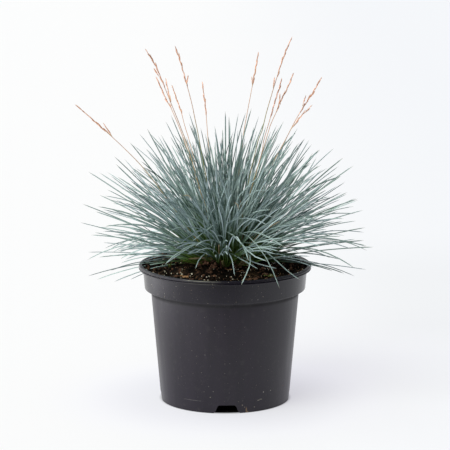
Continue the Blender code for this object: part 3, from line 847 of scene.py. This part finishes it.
def dry_stalk():
    """Dry flower stalks: tan, with rust-coloured scales on the spikelets, and some still green lower down."""
    look = Finish("dry_stalk", roughness=0.6, specular=0.3)
    along, tint, green = look.mark("Red"), look.mark("Green"), look.mark("Blue")
    rod = look.blend(look.clouds(300.0, 3.0), (0.42, 0.230, 0.155), (0.53, 0.34, 0.245))
    rod = look.blend(look.step(along, 0.72, 0.45), rod, (0.42, 0.30, 0.155))
    rod = look.blend(green, rod, (0.20, 0.205, 0.075))
    scales = look.blend(tint, (0.47, 0.23, 0.160), (0.72, 0.46, 0.36))
    scales = look.blend(look.step(look.clouds(800.0, 3.0), 0.5, 0.75, 0.0, 0.30), scales, (0.36, 0.15, 0.08))
    colour = look.blend(look.step(along, 1.4, 1.6), rod, scales)
    return look.done(colour, look.clouds(2000.0, 2.0), 0.0001)


def pale_table():
    """The floor: a smooth pale table that glows as painted light, brightest at the far left and dimmest at
    the near right.
    """
    look = Finish("pale_table", roughness=0.9, specular=0.1)
    axes = look.axes()
    across, back = axes["X"], axes["Y"]
    out = look.length(look.places)
    # Painted shade: the base colour is darker and bluer towards the right.
    aside = look.calc("ADD", across, look.times(look.clouds(1.3, 2.0), 0.1))
    colour = look.blend(look.step(aside, -0.15, 0.5), (0.226, 0.233, 0.220), (0.180, 0.197, 0.202))
    # Painted shade: the floor near the pot is bluer, the tint of its shadow.
    away = look.step(out, BASE_RADIUS + 0.015, BASE_RADIUS + 0.130)
    colour = look.blend(away, (0.209, 0.216, 0.240), colour)
    # Painted shade: under the pot the floor is near black and does not glow.
    outside_painted_pot_shade = look.step(out, BASE_RADIUS - 0.004, BASE_RADIUS - 0.001)
    colour = look.blend(outside_painted_pot_shade, (0.006, 0.006, 0.006), colour)
    # Painted shade: in front, away from the left, the floor is darkened and barely glows, so the pot reflects
    # dark.
    painted_dim_front_right = look.times(look.step(back, -0.20, -0.42), look.step(across, -0.55, 0.0))
    colour = look.blend(look.times(painted_dim_front_right, 0.85), colour, (0.03, 0.03, 0.03))
    # Painted light: a patch out at the left glows strongly and lights the pot's left side.
    beside = look.times(look.step(across, -0.27, -0.42), look.step(back, 0.35, 0.10))
    # Painted shadow: the glow is dimmed behind the pot at the right.
    painted_shadow_behind = look.times(look.step(back, 0.18, 0.34), look.step(back, 0.90, 0.55))
    painted_shadow_behind = look.times(painted_shadow_behind, look.step(across, 0.08, 0.22))
    # Painted light: a little more glow just in front of the pot at the right.
    painted_light_in_front = look.times(look.step(back, 0.05, -0.05), look.step(across, 0.02, 0.12))
    lit = look.calc("SUBTRACT", 1.0, look.times(painted_dim_front_right, 0.97))
    lit = look.calc("ADD", lit, look.times(beside, 2.6))
    lit = look.calc("SUBTRACT", lit, look.times(painted_shadow_behind, 0.055))
    lit = look.calc("ADD", lit, look.times(painted_light_in_front, 0.04))
    # Painted shade: the glow fades round the pot's foot, most where it touches the floor.
    painted_shade_near_pot = look.step(out, BASE_RADIUS, BASE_RADIUS + 0.090, 0.885, 1.0)
    painted_contact_shade = look.step(out, BASE_RADIUS - 0.001, BASE_RADIUS + 0.0028, 0.50, 1.0)
    # Painted light: the floor's glow, with painted shade and shadow where its masks lower it.
    painted_glow = look.times(lit, look.times(painted_shade_near_pot, painted_contact_shade), 0.695, outside_painted_pot_shade)
    look.surface.inputs["Emission Color"].default_value = (0.943, 0.930, 1.0, 1.0)
    look.feed(look.surface.inputs["Emission Strength"], painted_glow)
    return look.done(colour)


def rounded_outline(corners, steps=5):
    """Corners of radius, height and rounding, each rounded off with a curve that starts that far from it."""
    points = []
    for before, corner, after in zip(corners, corners[1:], corners[2:]):
        here = Vector(corner[:2])
        start = here + (Vector(before[:2]) - here).normalized() * corner[2]
        end = here + (Vector(after[:2]) - here).normalized() * corner[2]
        for t in np.linspace(0, 1, steps):
            points.append(start * (1 - t) ** 2 + here * 2 * t * (1 - t) + end * t**2)
    return [Vector(corners[0][:2]), *points, Vector(corners[-1][:2])]


def pot_outline():
    """The pot's section as points of radius and height, from under the base round the wall to the inside."""
    lip_bottom = POT_HEIGHT - LIP_HEIGHT
    bead_bottom = lip_bottom - BEAD_HEIGHT
    return rounded_outline(
        [
            (0.0, FLOOR_BOTTOM, 0.0),
            (BASE_RADIUS - FOOT_WIDTH, FLOOR_BOTTOM, 0.0008),
            (BASE_RADIUS - FOOT_WIDTH, 0.0, 0.0004),
            (BASE_RADIUS - FOOT_TAPER, 0.0, 0.0002),
            (SHOULDER_RADIUS, SHOULDER_HEIGHT, 0.0010),
            (SHOULDER_RADIUS + LEDGE_START, BAND_BOTTOM - LEDGE_DROP, 0.0009),
            (BAND_BOTTOM_RADIUS, BAND_BOTTOM, 0.0008),
            (BAND_TOP_RADIUS, bead_bottom, 0.0004),
            (BEAD_RADIUS, bead_bottom, 0.0005),
            (BEAD_RADIUS, lip_bottom, 0.0003),
            (RIM_RADIUS, lip_bottom, 0.0003),
            (RIM_RADIUS, lip_bottom + LIP_ROLL, 0.0002),
            (RIM_RADIUS - LIP_GROOVE, lip_bottom + 2 * LIP_ROLL, 0.0002),
            (RIM_RADIUS, lip_bottom + 3 * LIP_ROLL, 0.0002),
            (RIM_RADIUS, POT_HEIGHT, 0.0019),
            (LIP_INNER_RADIUS, POT_HEIGHT, 0.0009),
            (BAND_TOP_RADIUS - WALL, lip_bottom - LIP_SLOPE, 0.0020),
            (BAND_BOTTOM_RADIUS - WALL, BAND_BOTTOM + BAND_ROUND, 0.0012),
            (SHOULDER_RADIUS - WALL, SHOULDER_HEIGHT + INNER_LEDGE_RISE, 0.0016),
            (BASE_RADIUS - WALL + FLOOR_FLARE, FLOOR_TOP, 0.0020),
            (0.0, FLOOR_TOP, 0.0),
        ]
    )


def turned(outline, steps):
    """A solid turned round Z from an outline of radius and height that starts and ends on the axis."""
    bm = bmesh.new()
    verts = [bm.verts.new((radius, 0, height)) for radius, height in outline]
    edges = [bm.edges.new(pair) for pair in zip(verts, verts[1:])]
    bmesh.ops.spin(
        bm, geom=verts + edges, cent=(0, 0, 0), axis=(0, 0, 1), angle=2 * math.pi, steps=steps, use_merge=True
    )
    bmesh.ops.remove_doubles(bm, verts=bm.verts[:], dist=1e-6)
    bmesh.ops.recalc_face_normals(bm, faces=bm.faces)
    return bm


def notch_cutter():
    """Wedges across the foot ring, wider at the floor than at their tops."""
    bm = bmesh.new()
    half = [
        (NOTCH_BOTTOM_WIDTH / 2 + NOTCH_FLARE, -NOTCH_BELOW_FLOOR, 0.0),
        (NOTCH_BOTTOM_WIDTH / 2 - NOTCH_FLARE_INSET, NOTCH_FLARE_HEIGHT, NOTCH_FLARE_ROUND),
        (NOTCH_TOP_WIDTH / 2, NOTCH_HEIGHT, NOTCH_TOP_ROUND),
    ]
    other_half = [(-across, height, rounding) for across, height, rounding in reversed(half)]
    section = rounded_outline(half + other_half)
    inner = BASE_RADIUS - NOTCH_INNER_REACH
    for number in range(NOTCHES):
        verts = [bm.verts.new((inner, across, height)) for across, height in section]
        grown = bmesh.ops.extrude_face_region(bm, geom=[bm.faces.new(verts)])["geom"]
        far = [item for item in grown if isinstance(item, bmesh.types.BMVert)]
        bmesh.ops.translate(bm, verts=far, vec=(NOTCH_CUT_LENGTH, 0, 0))
        turn = NOTCH_TURN + (number - 1) * 2 * math.pi / NOTCHES
        bmesh.ops.rotate(bm, verts=verts + far, matrix=Matrix.Rotation(turn, 3, "Z"))
    bmesh.ops.recalc_face_normals(bm, faces=bm.faces)
    return bm


def drain_cutter():
    """Round posts through the base: one in the middle and a ring of them round it."""
    bm = bmesh.new()
    places = [Vector((0, 0, 0))]
    for number in range(DRAIN_HOLES):
        angle = NOTCH_TURN + (number + 0.5) * 2 * math.pi / DRAIN_HOLES
        places.append(Vector((math.cos(angle), math.sin(angle), 0)) * DRAIN_CIRCLE_RADIUS)
    for place in places:
        post = bmesh.ops.create_cone(
            bm,
            cap_ends=True,
            segments=DRAIN_HOLE_SIDES,
            radius1=DRAIN_HOLE_RADIUS,
            radius2=DRAIN_HOLE_RADIUS,
            depth=DRAIN_CUT_DEPTH,
        )
        middle = place + Vector((0, 0, (FLOOR_BOTTOM + FLOOR_TOP) / 2))
        bmesh.ops.translate(bm, verts=post["verts"], vec=middle)
    return bm


def cut(piece, cutter_bm):
    """Takes a cutter's shape out of a piece for good."""
    mesh = bpy.data.meshes.new("cutter")
    cutter_bm.to_mesh(mesh)
    cutter_bm.free()
    cutter = bpy.data.objects.new("cutter", mesh)
    bpy.context.scene.collection.objects.link(cutter)
    boolean = piece.modifiers.new("cut", "BOOLEAN")
    boolean.operation = "DIFFERENCE"
    boolean.object = cutter
    bpy.context.view_layer.update()
    evaluated = piece.evaluated_get(bpy.context.evaluated_depsgraph_get())
    result = bpy.data.meshes.new_from_object(evaluated)
    piece.modifiers.remove(boolean)
    piece.data = result
    piece.data.set_sharp_from_angle(angle=math.radians(SMOOTH_BELOW))
    bpy.data.objects.remove(cutter)


def build_pot():
    pot = piece_from("moulded_pot", turned(pot_outline(), POT_STEPS), black_plastic())
    cut(pot, notch_cutter())
    cut(pot, drain_cutter())
    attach(pot, "root")
    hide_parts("pot")


def build_soil_bed(material):
    """The root ball: loose soil on top, and smooth sides and bottom where the pot holds it."""
    top = [(radius, soil_height(radius, 0)) for radius in np.linspace(0, SOIL_EDGE_RADIUS, SOIL_RINGS)]
    band_bend, shoulder_bend, body_bend = SOIL_BENDS
    side = [
        (BAND_BOTTOM_RADIUS - WALL - SOIL_GAP, BAND_BOTTOM + BAND_ROUND + band_bend),
        (SHOULDER_RADIUS - WALL - 3 * SOIL_GAP, SHOULDER_HEIGHT + shoulder_bend),
        (SHOULDER_RADIUS - WALL - 4 * SOIL_GAP, SHOULDER_HEIGHT + body_bend),
        (BASE_RADIUS - WALL - 2 * SOIL_GAP, SOIL_BOTTOM + SOIL_GAP / 2),
        (0.0, SOIL_BOTTOM + SOIL_GAP / 2),
    ]
    bm = turned(top + side, SOIL_STEPS)
    edge_height = top[-1][1]
    for vert in bm.verts:
        x, y, z = vert.co
        if z > edge_height - SOIL_GAP / 4 and math.hypot(x, y) < SOIL_EDGE_RADIUS - SOIL_GAP / 2:
            vert.co.z = rough_ground(x, y)
    bed = piece_from("soil_bed", bm, material, smooth_below=180)
    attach(bed, "root")
    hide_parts("potting_soil")


def random_turn(draw):
    axis = Vector((draw.gauss(0, 1), draw.gauss(0, 1), draw.gauss(0, 1))).normalized()
    return Matrix.Rotation(draw.uniform(0, 2 * math.pi), 3, axis)


def on_ground(x, y, lift=0.0):
    return Vector((x, y, rough_ground(x, y) + lift))


def ground_place(draw, inner=LOOSE_INNER_RADIUS, outer=LOOSE_OUTER_RADIUS):
    """A place on the soil between two radii, chosen by chance."""
    radius = math.sqrt(draw.uniform(inner**2, outer**2))
    azimuth = draw.uniform(0, 2 * math.pi)
    return on_ground(radius * math.cos(azimuth), radius * math.sin(azimuth))


def drop(heap, shapes, place, size, draw, rarity=1.0, tone=1.0, turn=None):
    """One lump of a shape chosen by chance. The higher the rarity, the fewer of them are pale."""
    shape = draw.choice(shapes)
    points = shape.placed(place, random_turn(draw) if turn is None else turn, size)
    heap.add(shape, points, (0, draw.random() ** rarity * tone, 0))


def finish_soil_piece(heap, name, material):
    piece = heap.piece(name, material, smooth_below=25)
    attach(piece, "root")


def build_crumbs(material):
    """Crumbs all over the soil, more of them banked against the wall at the back and sides, and the heaps."""
    draw = random.Random(SEED)
    shapes = crumb_shapes(6, 0.8, draw)
    heap = Heap()
    for _ in range(CRUMBS):
        size = min(CRUMB_SIZE * math.exp(draw.gauss(*CRUMB_VARIES)), LARGEST_CRUMB)
        place = ground_place(draw) + Vector((0, 0, size * draw.uniform(0.0, 0.55)))
        drop(heap, shapes, place, size, draw, rarity=2.1)
    for _ in range(BANKED_CRUMBS):
        azimuth = draw.uniform(*BANKED_ARC)
        radius = draw.uniform(*BANKED_RADII)
        size = draw.uniform(*BANKED_SIZES)
        lift = draw.uniform(*BANKED_LIFTS)
        place = on_ground(radius * math.cos(azimuth), radius * math.sin(azimuth), lift)
        drop(heap, shapes, place, size, draw, rarity=1.6)
    for u, v, height, tone in HEAPS:
        foot = on_soil(u, v)
        for _ in range(HEAP_LUMPS):
            share = draw.random()
            beside = Vector((draw.gauss(0, 1), draw.gauss(0, 1), 0)) * (HEAP_SPREAD - HEAP_NARROWING * share)
            size = draw.uniform(*HEAP_SIZES)
            place = foot + beside + Vector((0, 0, height * share * 0.85))
            drop(heap, shapes, place, size, draw, tone=tone)
    finish_soil_piece(heap, "soil_crumbs", material)


def build_perlite():
    draw = random.Random(SEED + 1)
    shapes = crumb_shapes(4, 0.9, draw)
    heap = Heap()
    for _ in range(PERLITE_GRAINS):
        size = draw.uniform(*PERLITE_SIZES)
        place = ground_place(draw, SEAT_RADIUS) + Vector((0, 0, size * 0.7 + LOOSE_LIFT))
        drop(heap, shapes, place, size, draw, rarity=1.5)
    finish_soil_piece(heap, "perlite_grains", perlite())


def build_bark():
    """Bark chips that lie roughly flat all over the soil, and the largest ones where the photo shows them."""
    draw = random.Random(SEED + 2)
    shapes = chip_shapes(5, draw)
    heap = Heap()
    for _ in range(BARK_CHIPS):
        size = draw.uniform(*BARK_SIZES)
        tilt = Matrix.Rotation(draw.gauss(0, 0.45), 3, "X") @ Matrix.Rotation(draw.gauss(0, 0.35), 3, "Y")
        turn = Matrix.Rotation(draw.uniform(0, 2 * math.pi), 3, "Z") @ tilt
        place = ground_place(draw, BARK_INNER_RADIUS) + Vector((0, 0, size * 0.25 + LOOSE_LIFT))
        drop(heap, shapes, place, size, draw, rarity=2.2, tone=0.8, turn=turn)
    for u, v, size, tone in LARGE_CHIPS:
        place = on_soil(u, v) + Vector((0, 0, size * 0.3))
        turn = Matrix.Rotation(draw.uniform(-0.4, 0.4), 3, "Z") @ Matrix.Rotation(0.5, 3, "X")
        shape = draw.choice(shapes)
        heap.add(shape, shape.placed(place, turn, size), (0, tone, 0))
    finish_soil_piece(heap, "bark_chips", bark())


def build_fibres(leaf):
    """Fine roots and threads of peat that lie on the soil."""
    draw = random.Random(SEED + 3)
    heap = Heap()
    for _ in range(SOIL_FIBRES):
        base = ground_place(draw, SEAT_RADIUS, FIBRE_START_REACH)
        azimuth = draw.uniform(0, 2 * math.pi)
        length = draw.uniform(*FIBRE_LENGTHS)
        x = base.x + math.cos(azimuth) * length
        y = base.y + math.sin(azimuth) * length
        far = math.hypot(x, y)
        if far > FIBRE_REACH:
            x, y = x * FIBRE_REACH / far, y * FIBRE_REACH / far
        tip = on_ground(x, y, draw.uniform(*FIBRE_LIFTS))
        route = arched_route(base, tip, draw.uniform(0.1, 0.9), draw.gauss(0, 0.14), leaf.shares)
        tone = draw.random() ** 1.4
        heap.add(leaf, leaf.along(route, draw.uniform(*FIBRE_WIDTHS), draw.uniform(0, 3)), (0, tone, 0))
    finish_soil_piece(heap, "soil_fibres", bark())


def build_sprout(leaf):
    """A seedling of a few short blades, and a cushion of moss on the soil."""
    draw = random.Random(SEED + 4)
    heap = Heap()
    foot = on_soil(*SEEDLING_PIXEL)
    for _ in range(SEEDLING_BLADES):
        way = heading(draw.uniform(0.2, 1.0), draw.uniform(0, 2 * math.pi))
        tip = foot + way * draw.uniform(*SEEDLING_BLADE_LENGTHS)
        route = arched_route(foot, tip, 0.5, 0.05, leaf.shares)
        points = leaf.along(route, SEEDLING_BLADE_WIDTH, draw.uniform(0, 3))
        heap.add(leaf, points, (0, draw.random(), 0))
    middle = on_soil(*MOSS_PIXEL)
    across, back, rise = MOSS_SPREAD
    for shape in crumb_shapes(MOSS_LUMPS, 0.8, draw):
        beside = Vector((draw.gauss(0, across), draw.gauss(0, back), draw.uniform(0.0, rise)))
        points = shape.placed(middle + beside, random_turn(draw), draw.uniform(*MOSS_SIZES))
        heap.add(shape, points, (0, draw.random(), 0))
    finish_soil_piece(heap, "green_sprout", moss_green())


def foot_of(node):
    """Where a plant's node stands: the middle of its points just over the crown's seat."""
    points = np.array([vert.co[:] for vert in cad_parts[node].data.vertices])
    near = np.hypot(points[:, 0], points[:, 1]) < CROWN_RADIUS * 1.25
    low = points[near & (points[:, 2] > SEAT_HEIGHT) & (points[:, 2] < SEAT_HEIGHT + FOOT_SLICE)]
    return Vector(low.mean(axis=0))


def widest_lean(azimuth):
    """How far the outermost leaves lean: less at the front, where the soil shows, than round the rest."""
    front = max(-math.sin(azimuth), 0.0) ** 1.5
    return SIDE_LEAN + (FRONT_LEAN - SIDE_LEAN) * front


def nearest_tuft(seats, tip):
    """Number of the tuft that stands where leaves lean towards a tip."""
    chord = tip - Vector((0, 0, SEAT_HEIGHT))
    azimuth = math.atan2(chord.y, chord.x)
    lean = math.acos(chord.normalized().z)
    out = min(lean / widest_lean(azimuth), 1.0) ** (1 / LEAN_GROWTH) * CROWN_RADIUS
    wanted = Vector((out * math.cos(azimuth), out * math.sin(azimuth)))
    return min(range(len(seats)), key=lambda number: (seats[number].xy - wanted).length)


def add_leaf(heap, leaf, route, width, draw, dead=0.0, length=1.0, tints=(0.0, 1.0), dead_from=0.0):
    """One leaf on a route. Its marks are its share of length, its tint, and how dead it is past a share."""
    points = leaf.along(route, width, draw.uniform(-0.9, 0.9), draw.gauss(0, 0.5))
    marks = np.empty_like(points)
    marks[:, 0] = leaf.shares[leaf.ring] * length
    marks[:, 1] = tints[0] + (tints[1] - tints[0]) * draw.betavariate(0.65, 0.75)
    marks[:, 2] = dead * (marks[:, 0] >= dead_from)
    heap.add(leaf, points, marks)


def scatter_leaf(heap, leaf, foot, azimuth, lean, out, draw):
    """One leaf of a tiller, which leans and turns about as the tiller does. Some low ones are left out."""
    own_lean = abs(lean + draw.gauss(0, LEAF_LEAN_VARIES))
    own_lean = min(own_lean, widest_lean(azimuth) + LEAN_BEYOND)
    own_azimuth = azimuth + draw.gauss(0, LEAF_TURN_VARIES) / max(math.sin(own_lean), 0.3)
    if own_lean > LOW_LEAN and draw.random() < LOW_LEAVES_LEFT_OUT:
        return
    low = max(own_lean / SIDE_LEAN - 0.6, 0.0)
    reach = LEAF_REACH * (0.54 - 0.28 * low + 0.46 * draw.betavariate(1.8, 1.5))
    reach *= 1 - LEFT_SHORTENING * max(-math.cos(own_azimuth), 0.0) * math.sin(own_lean) ** 4
    dead = 0.0
    if draw.random() < DEAD_LEAVES:
        dead = draw.uniform(0.6, 1.0)
        reach *= draw.uniform(0.35, 0.8)
    base = foot + Vector((draw.gauss(0, LEAF_FOOT_SPREAD), draw.gauss(0, LEAF_FOOT_SPREAD), 0))
    tip = base + heading(own_lean, own_azimuth) * reach
    crown = Vector((0, 0, SEAT_HEIGHT))
    tip = crown + (tip - crown) * min(LEAF_REACH / (tip - crown).length, 1.0)
    bend = math.radians(5 + 24 * out + 50 * low) + draw.gauss(0, LEAF_BEND_VARIES)
    route = arched_route(base, tip, bend, draw.gauss(0, LEAF_SWAY_VARIES), leaf.shares)
    width = LEAF_WIDTH * draw.uniform(*LEAF_WIDTH_VARIES)
    add_leaf(heap, leaf, route, width, draw, dead, tints=(0.7 * low, 1.0))


def fill_tuft(heap, leaf, seat, draw):
    """The many leaves of one tuft, in tillers that fan out of the crown, each with its sheath."""
    for _ in range(TILLERS_PER_TUFT):
        drift = heading(math.pi / 2, draw.uniform(0, 2 * math.pi)) * TUFT_SPREAD * math.sqrt(draw.random())
        foot = Vector((seat.x + drift.x, seat.y + drift.y, SEAT_HEIGHT - TILLER_DEPTH))
        out = min(foot.xy.length / CROWN_RADIUS, 1.05)
        azimuth = math.atan2(foot.y, foot.x) + draw.gauss(0, 0.26) / max(out, 0.25)
        lean = CENTRE_LEAN + (widest_lean(azimuth) - CENTRE_LEAN) * out**LEAN_GROWTH
        lean += draw.gauss(0, TILLER_LEAN_VARIES)
        sheath_tip = foot + heading(lean * 0.8, azimuth) * draw.uniform(*SHEATH_LENGTHS)
        sheath_route = arched_route(foot, sheath_tip, 0.1, 0.0, leaf.shares * 0.9)
        dead = draw.choice(SHEATH_DRYNESS)
        add_leaf(heap, leaf, sheath_route, SHEATH_WIDTH, draw, dead=dead, length=SHEATH_SHARE)
        more = out < 0.85 and draw.random() < 0.32 + 0.25 * math.cos(azimuth)
        for _ in range(LEAVES_PER_TILLER + more):
            scatter_leaf(heap, leaf, foot, azimuth, lean, out, draw)


def aimed_leaves(seats):
    """For each tuft, the leaves that follow the photo: their places, range of tints and dead share."""
    aimed = [[] for _ in seats]
    draw = random.Random(LEAF_SEED + 5)
    for u, v in OUTLINE_TIPS:
        tip = seen_at(u, v, draw.uniform(-OUTLINE_DEPTH, OUTLINE_DEPTH))
        aimed[nearest_tuft(seats, tip)].append(([tip], OUTLINE_TINTS, 0.0))
    for stops in FRONT_LEAVES:
        places = [seen_at(*stop) for stop in stops]
        aimed[nearest_tuft(seats, places[0])].append((places, FRONT_TINTS, 0.0))
    for dying in DYING_LEAVES:
        places = [seen_at(*stop) for stop in dying["stops"]]
        aimed[nearest_tuft(seats, places[0])].append((places, (0.0, 1.0), dying["dead"]))
    return aimed


def build_leaves(leaf, material):
    """All tufts of leaves, each in place of its node, with the leaves that follow the photo."""
    nodes = sorted(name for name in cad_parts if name.startswith("leaf_tuft_"))
    seats = [foot_of(name) for name in nodes]
    aimed = aimed_leaves(seats)
    for number, (name, seat) in enumerate(zip(nodes, seats)):
        draw = random.Random(LEAF_SEED * 100 + number)
        heap = Heap()
        fill_tuft(heap, leaf, seat, draw)
        for places, tints, dead in aimed[number]:
            foot = Vector((seat.x, seat.y, SEAT_HEIGHT - FOOT_DEPTH)) + Vector((draw.gauss(0, 0.001), 0, 0))
            if len(places) == 1:
                low = max(-(places[0] - foot).normalized().z, 0.0)
                bend = math.radians(16 + 60 * low) + draw.gauss(0, math.radians(5))
                route = arched_route(foot, places[0], bend, draw.gauss(0, 0.02), leaf.shares)
            else:
                route = smooth_route([foot, *places], leaf.shares)
            width = LEAF_WIDTH * draw.uniform(0.85, 1.05)
            add_leaf(heap, leaf, route, width, draw, min(9 * dead, 1.0), tints=tints, dead_from=1 - dead)
        piece = heap.piece(name.replace("leaf_tuft", "leaves"), material, smooth_below=60)
        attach(piece, "root")
        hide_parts(name)


def add_spikelet(heap, scale, base, direction, side, draw, size=1.0):
    """A narrow spikelet of overlapping scales, set left and right of its own thin axis."""
    axis = direction.normalized()
    across = (side - axis * side.dot(axis)).normalized()
    for number in range(SCALES_PER_SPIKELET):
        sign = 1 if number % 2 else -1
        start = base + axis * (SCALE_SPACING * number * size)
        outward = (axis + across * sign * draw.uniform(0.04, 0.11)).normalized()
        length = (SCALE_LENGTH - SCALE_SHORTENING * number) * size * draw.uniform(0.9, 1.1)
        tip = start + outward * length
        route = arched_route(start, tip, draw.uniform(-0.1, 0.2), 0.0, scale.shares)
        points = scale.along(route, SCALE_WIDTH * size * draw.uniform(0.85, 1.1), draw.uniform(0, 6.3))
        heap.add(scale, points, (2.0, draw.random(), 0))


def add_rod(heap, rod, stops, width, green_below=0.0):
    """A stalk through the stops, from its foot up, green below a share of its length."""
    route = smooth_route(stops, rod.shares)
    points = rod.along(route, width)
    marks = np.zeros_like(points)
    share = rod.shares[rod.ring]
    marks[:, 0] = share
    marks[:, 2] = np.clip((green_below - share) / 0.15, 0, 1) * (0.9 if green_below else 0.0)
    heap.add(rod, points, marks)
    return route


def add_head(heap, scale, route, reach, draw):
    """Spikelets along the last reach of a stalk's route, in turn to either side, and one at its tip."""
    run = np.concatenate([[0], np.cumsum(np.linalg.norm(np.diff(route, axis=0), axis=1))])
    count = max(int(reach / SPIKELET_SPACING), 1)
    for number in range(count + 1):
        back = reach * (1 - number / count) ** 1.05
        at = max(run[-1] - back - SPIKELET_LENGTH, 0.0)
        here = Vector([float(np.interp(at, run, route[:, axis])) for axis in range(3)])
        ahead = Vector([float(np.interp(at + 0.002, run, route[:, axis])) for axis in range(3)])
        along = (ahead - here).normalized() if (ahead - here).length > 1e-6 else Vector((0, 0, 1))
        side = along.cross(Vector((0, 1, 0))).normalized() * (1 if number % 2 else -1)
        side = Matrix.Rotation(draw.gauss(0, 0.7), 3, along) @ side
        lean = (along + side * draw.uniform(0.03, 0.10)).normalized()
        if number < count:
            add_spikelet(heap, scale, here + lean * 0.0010, lean, side, draw, draw.uniform(0.9, 1.2))
        else:
            foot = Vector(route[-1]) - along * TIP_SPIKELET_LENGTH
            add_spikelet(heap, scale, foot, along, side, draw)


def build_stalks():
    """The dry flower stalks, each in place of its node, with their narrow heads."""
    material = dry_stalk()
    rod, scale = stalk_shape(), scale_shape()
    for number, stalk in enumerate(STALKS, start=1):
        node = f"flower_stem_{number:02d}"
        draw = random.Random(SEED * 1000 + number)
        foot = foot_of(node)
        foot.z = SEAT_HEIGHT - FOOT_DEPTH
        foot_row, tip_row = pixel_row(foot), stalk["line"][0][1]

        def depth_at(v):
            share = min(max((foot_row - v) / (foot_row - tip_row), 0.0), 1.0)
            return foot.y + (stalk["depth"] - foot.y) * share

        heap = Heap()
        stops = [foot] + [seen_at(u, v, depth_at(v)) for u, v in reversed(stalk["line"])]
        route = add_rod(heap, rod, stops, STALK_WIDTH, stalk.get("green_below", 0.0))
        add_head(heap, scale, route, stalk.get("head", HEAD_LENGTH), draw)
        for side in stalk.get("sides", []):
            side_stops = [seen_at(u, v, depth_at(v) - SIDE_FORWARD) for u, v in reversed(side)]
            if len(side_stops) == 2:
                side_stops.insert(1, (side_stops[0] + side_stops[1]) / 2)
            side_route = add_rod(heap, rod, side_stops, SIDE_WIDTH)
            length = sum((b - a).length for a, b in zip(side_stops, side_stops[1:]))
            add_head(heap, scale, side_route, length * SIDE_HEAD_SHARE, draw)
        piece = heap.piece(f"flower_stalk_{number:02d}", material, smooth_below=50)
        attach(piece, "root")
        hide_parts(node)


def build_stage():
    """A wide pale floor that fills the whole view."""
    bm = bmesh.new()
    bmesh.ops.create_grid(bm, x_segments=8, y_segments=8, size=FLOOR_HALF_SIZE)
    floor = piece_from("pale_floor", bm, pale_table())


def build_camera():
    camera = bpy.data.cameras.new("camera")
    camera.sensor_width = SENSOR_MM
    camera.lens = SENSOR_MM * FOCAL_PIXELS / PHOTO_PIXELS
    camera.clip_start = 0.05
    camera.clip_end = 60
    holder = bpy.data.objects.new("camera", camera)
    holder.location = (0.0, -CAMERA_BACK, CAMERA_HEIGHT)
    holder.rotation_euler = (math.pi / 2 - CAMERA_PITCH, 0, 0)
    bpy.context.scene.collection.objects.link(holder)
    bpy.context.scene.camera = holder


def build_light():
    """A room that is brighter at the left and above and dimmer behind the camera, and one wide soft lamp."""
    scene = bpy.context.scene
    scene.view_settings.view_transform = "Standard"
    world = bpy.data.worlds.new("studio")
    scene.world = world
    world.use_nodes = True
    tree = world.node_tree
    background = tree.nodes["Background"]
    background.inputs["Color"].default_value = (0.985, 0.992, 1.0, 1.0)
    places = tree.nodes.new("ShaderNodeTexCoord")
    axes = tree.nodes.new("ShaderNodeSeparateXYZ")
    tree.links.new(places.outputs["Generated"], axes.inputs["Vector"])
    strength = None
    for axis, *ends in ROOM_LIGHT:
        ramp = tree.nodes.new("ShaderNodeMapRange")
        ramp.interpolation_type = "SMOOTHSTEP"
        for name, value in zip(("From Min", "From Max", "To Min", "To Max"), ends):
            ramp.inputs[name].default_value = value
        tree.links.new(axes.outputs[axis], ramp.inputs["Value"])
        if strength is None:
            strength = ramp.outputs["Result"]
        else:
            product = tree.nodes.new("ShaderNodeMath")
            product.operation = "MULTIPLY"
            tree.links.new(strength, product.inputs[0])
            tree.links.new(ramp.outputs["Result"], product.inputs[1])
            strength = product.outputs["Value"]
    tree.links.new(strength, background.inputs["Strength"])

    lamp = bpy.data.lights.new("soft_lamp", "SUN")
    lamp.angle = math.radians(44)
    lamp.energy = 2.5
    lamp.color = (0.97, 1.0, 0.74)
    holder = bpy.data.objects.new("soft_lamp", lamp)
    towards = Vector((0.44, 0.55, -0.71))
    holder.rotation_euler = towards.to_track_quat("-Z", "Y").to_euler()
    scene.collection.objects.link(holder)


def main():
    leaf = leaf_shape()
    peat = damp_peat()
    build_camera()
    build_light()
    build_stage()
    build_pot()
    build_soil_bed(peat)
    build_crumbs(peat)
    build_perlite()
    build_bark()
    build_fibres(leaf)
    build_sprout(leaf)
    build_leaves(leaf, blue_leaf())
    build_stalks()


main()
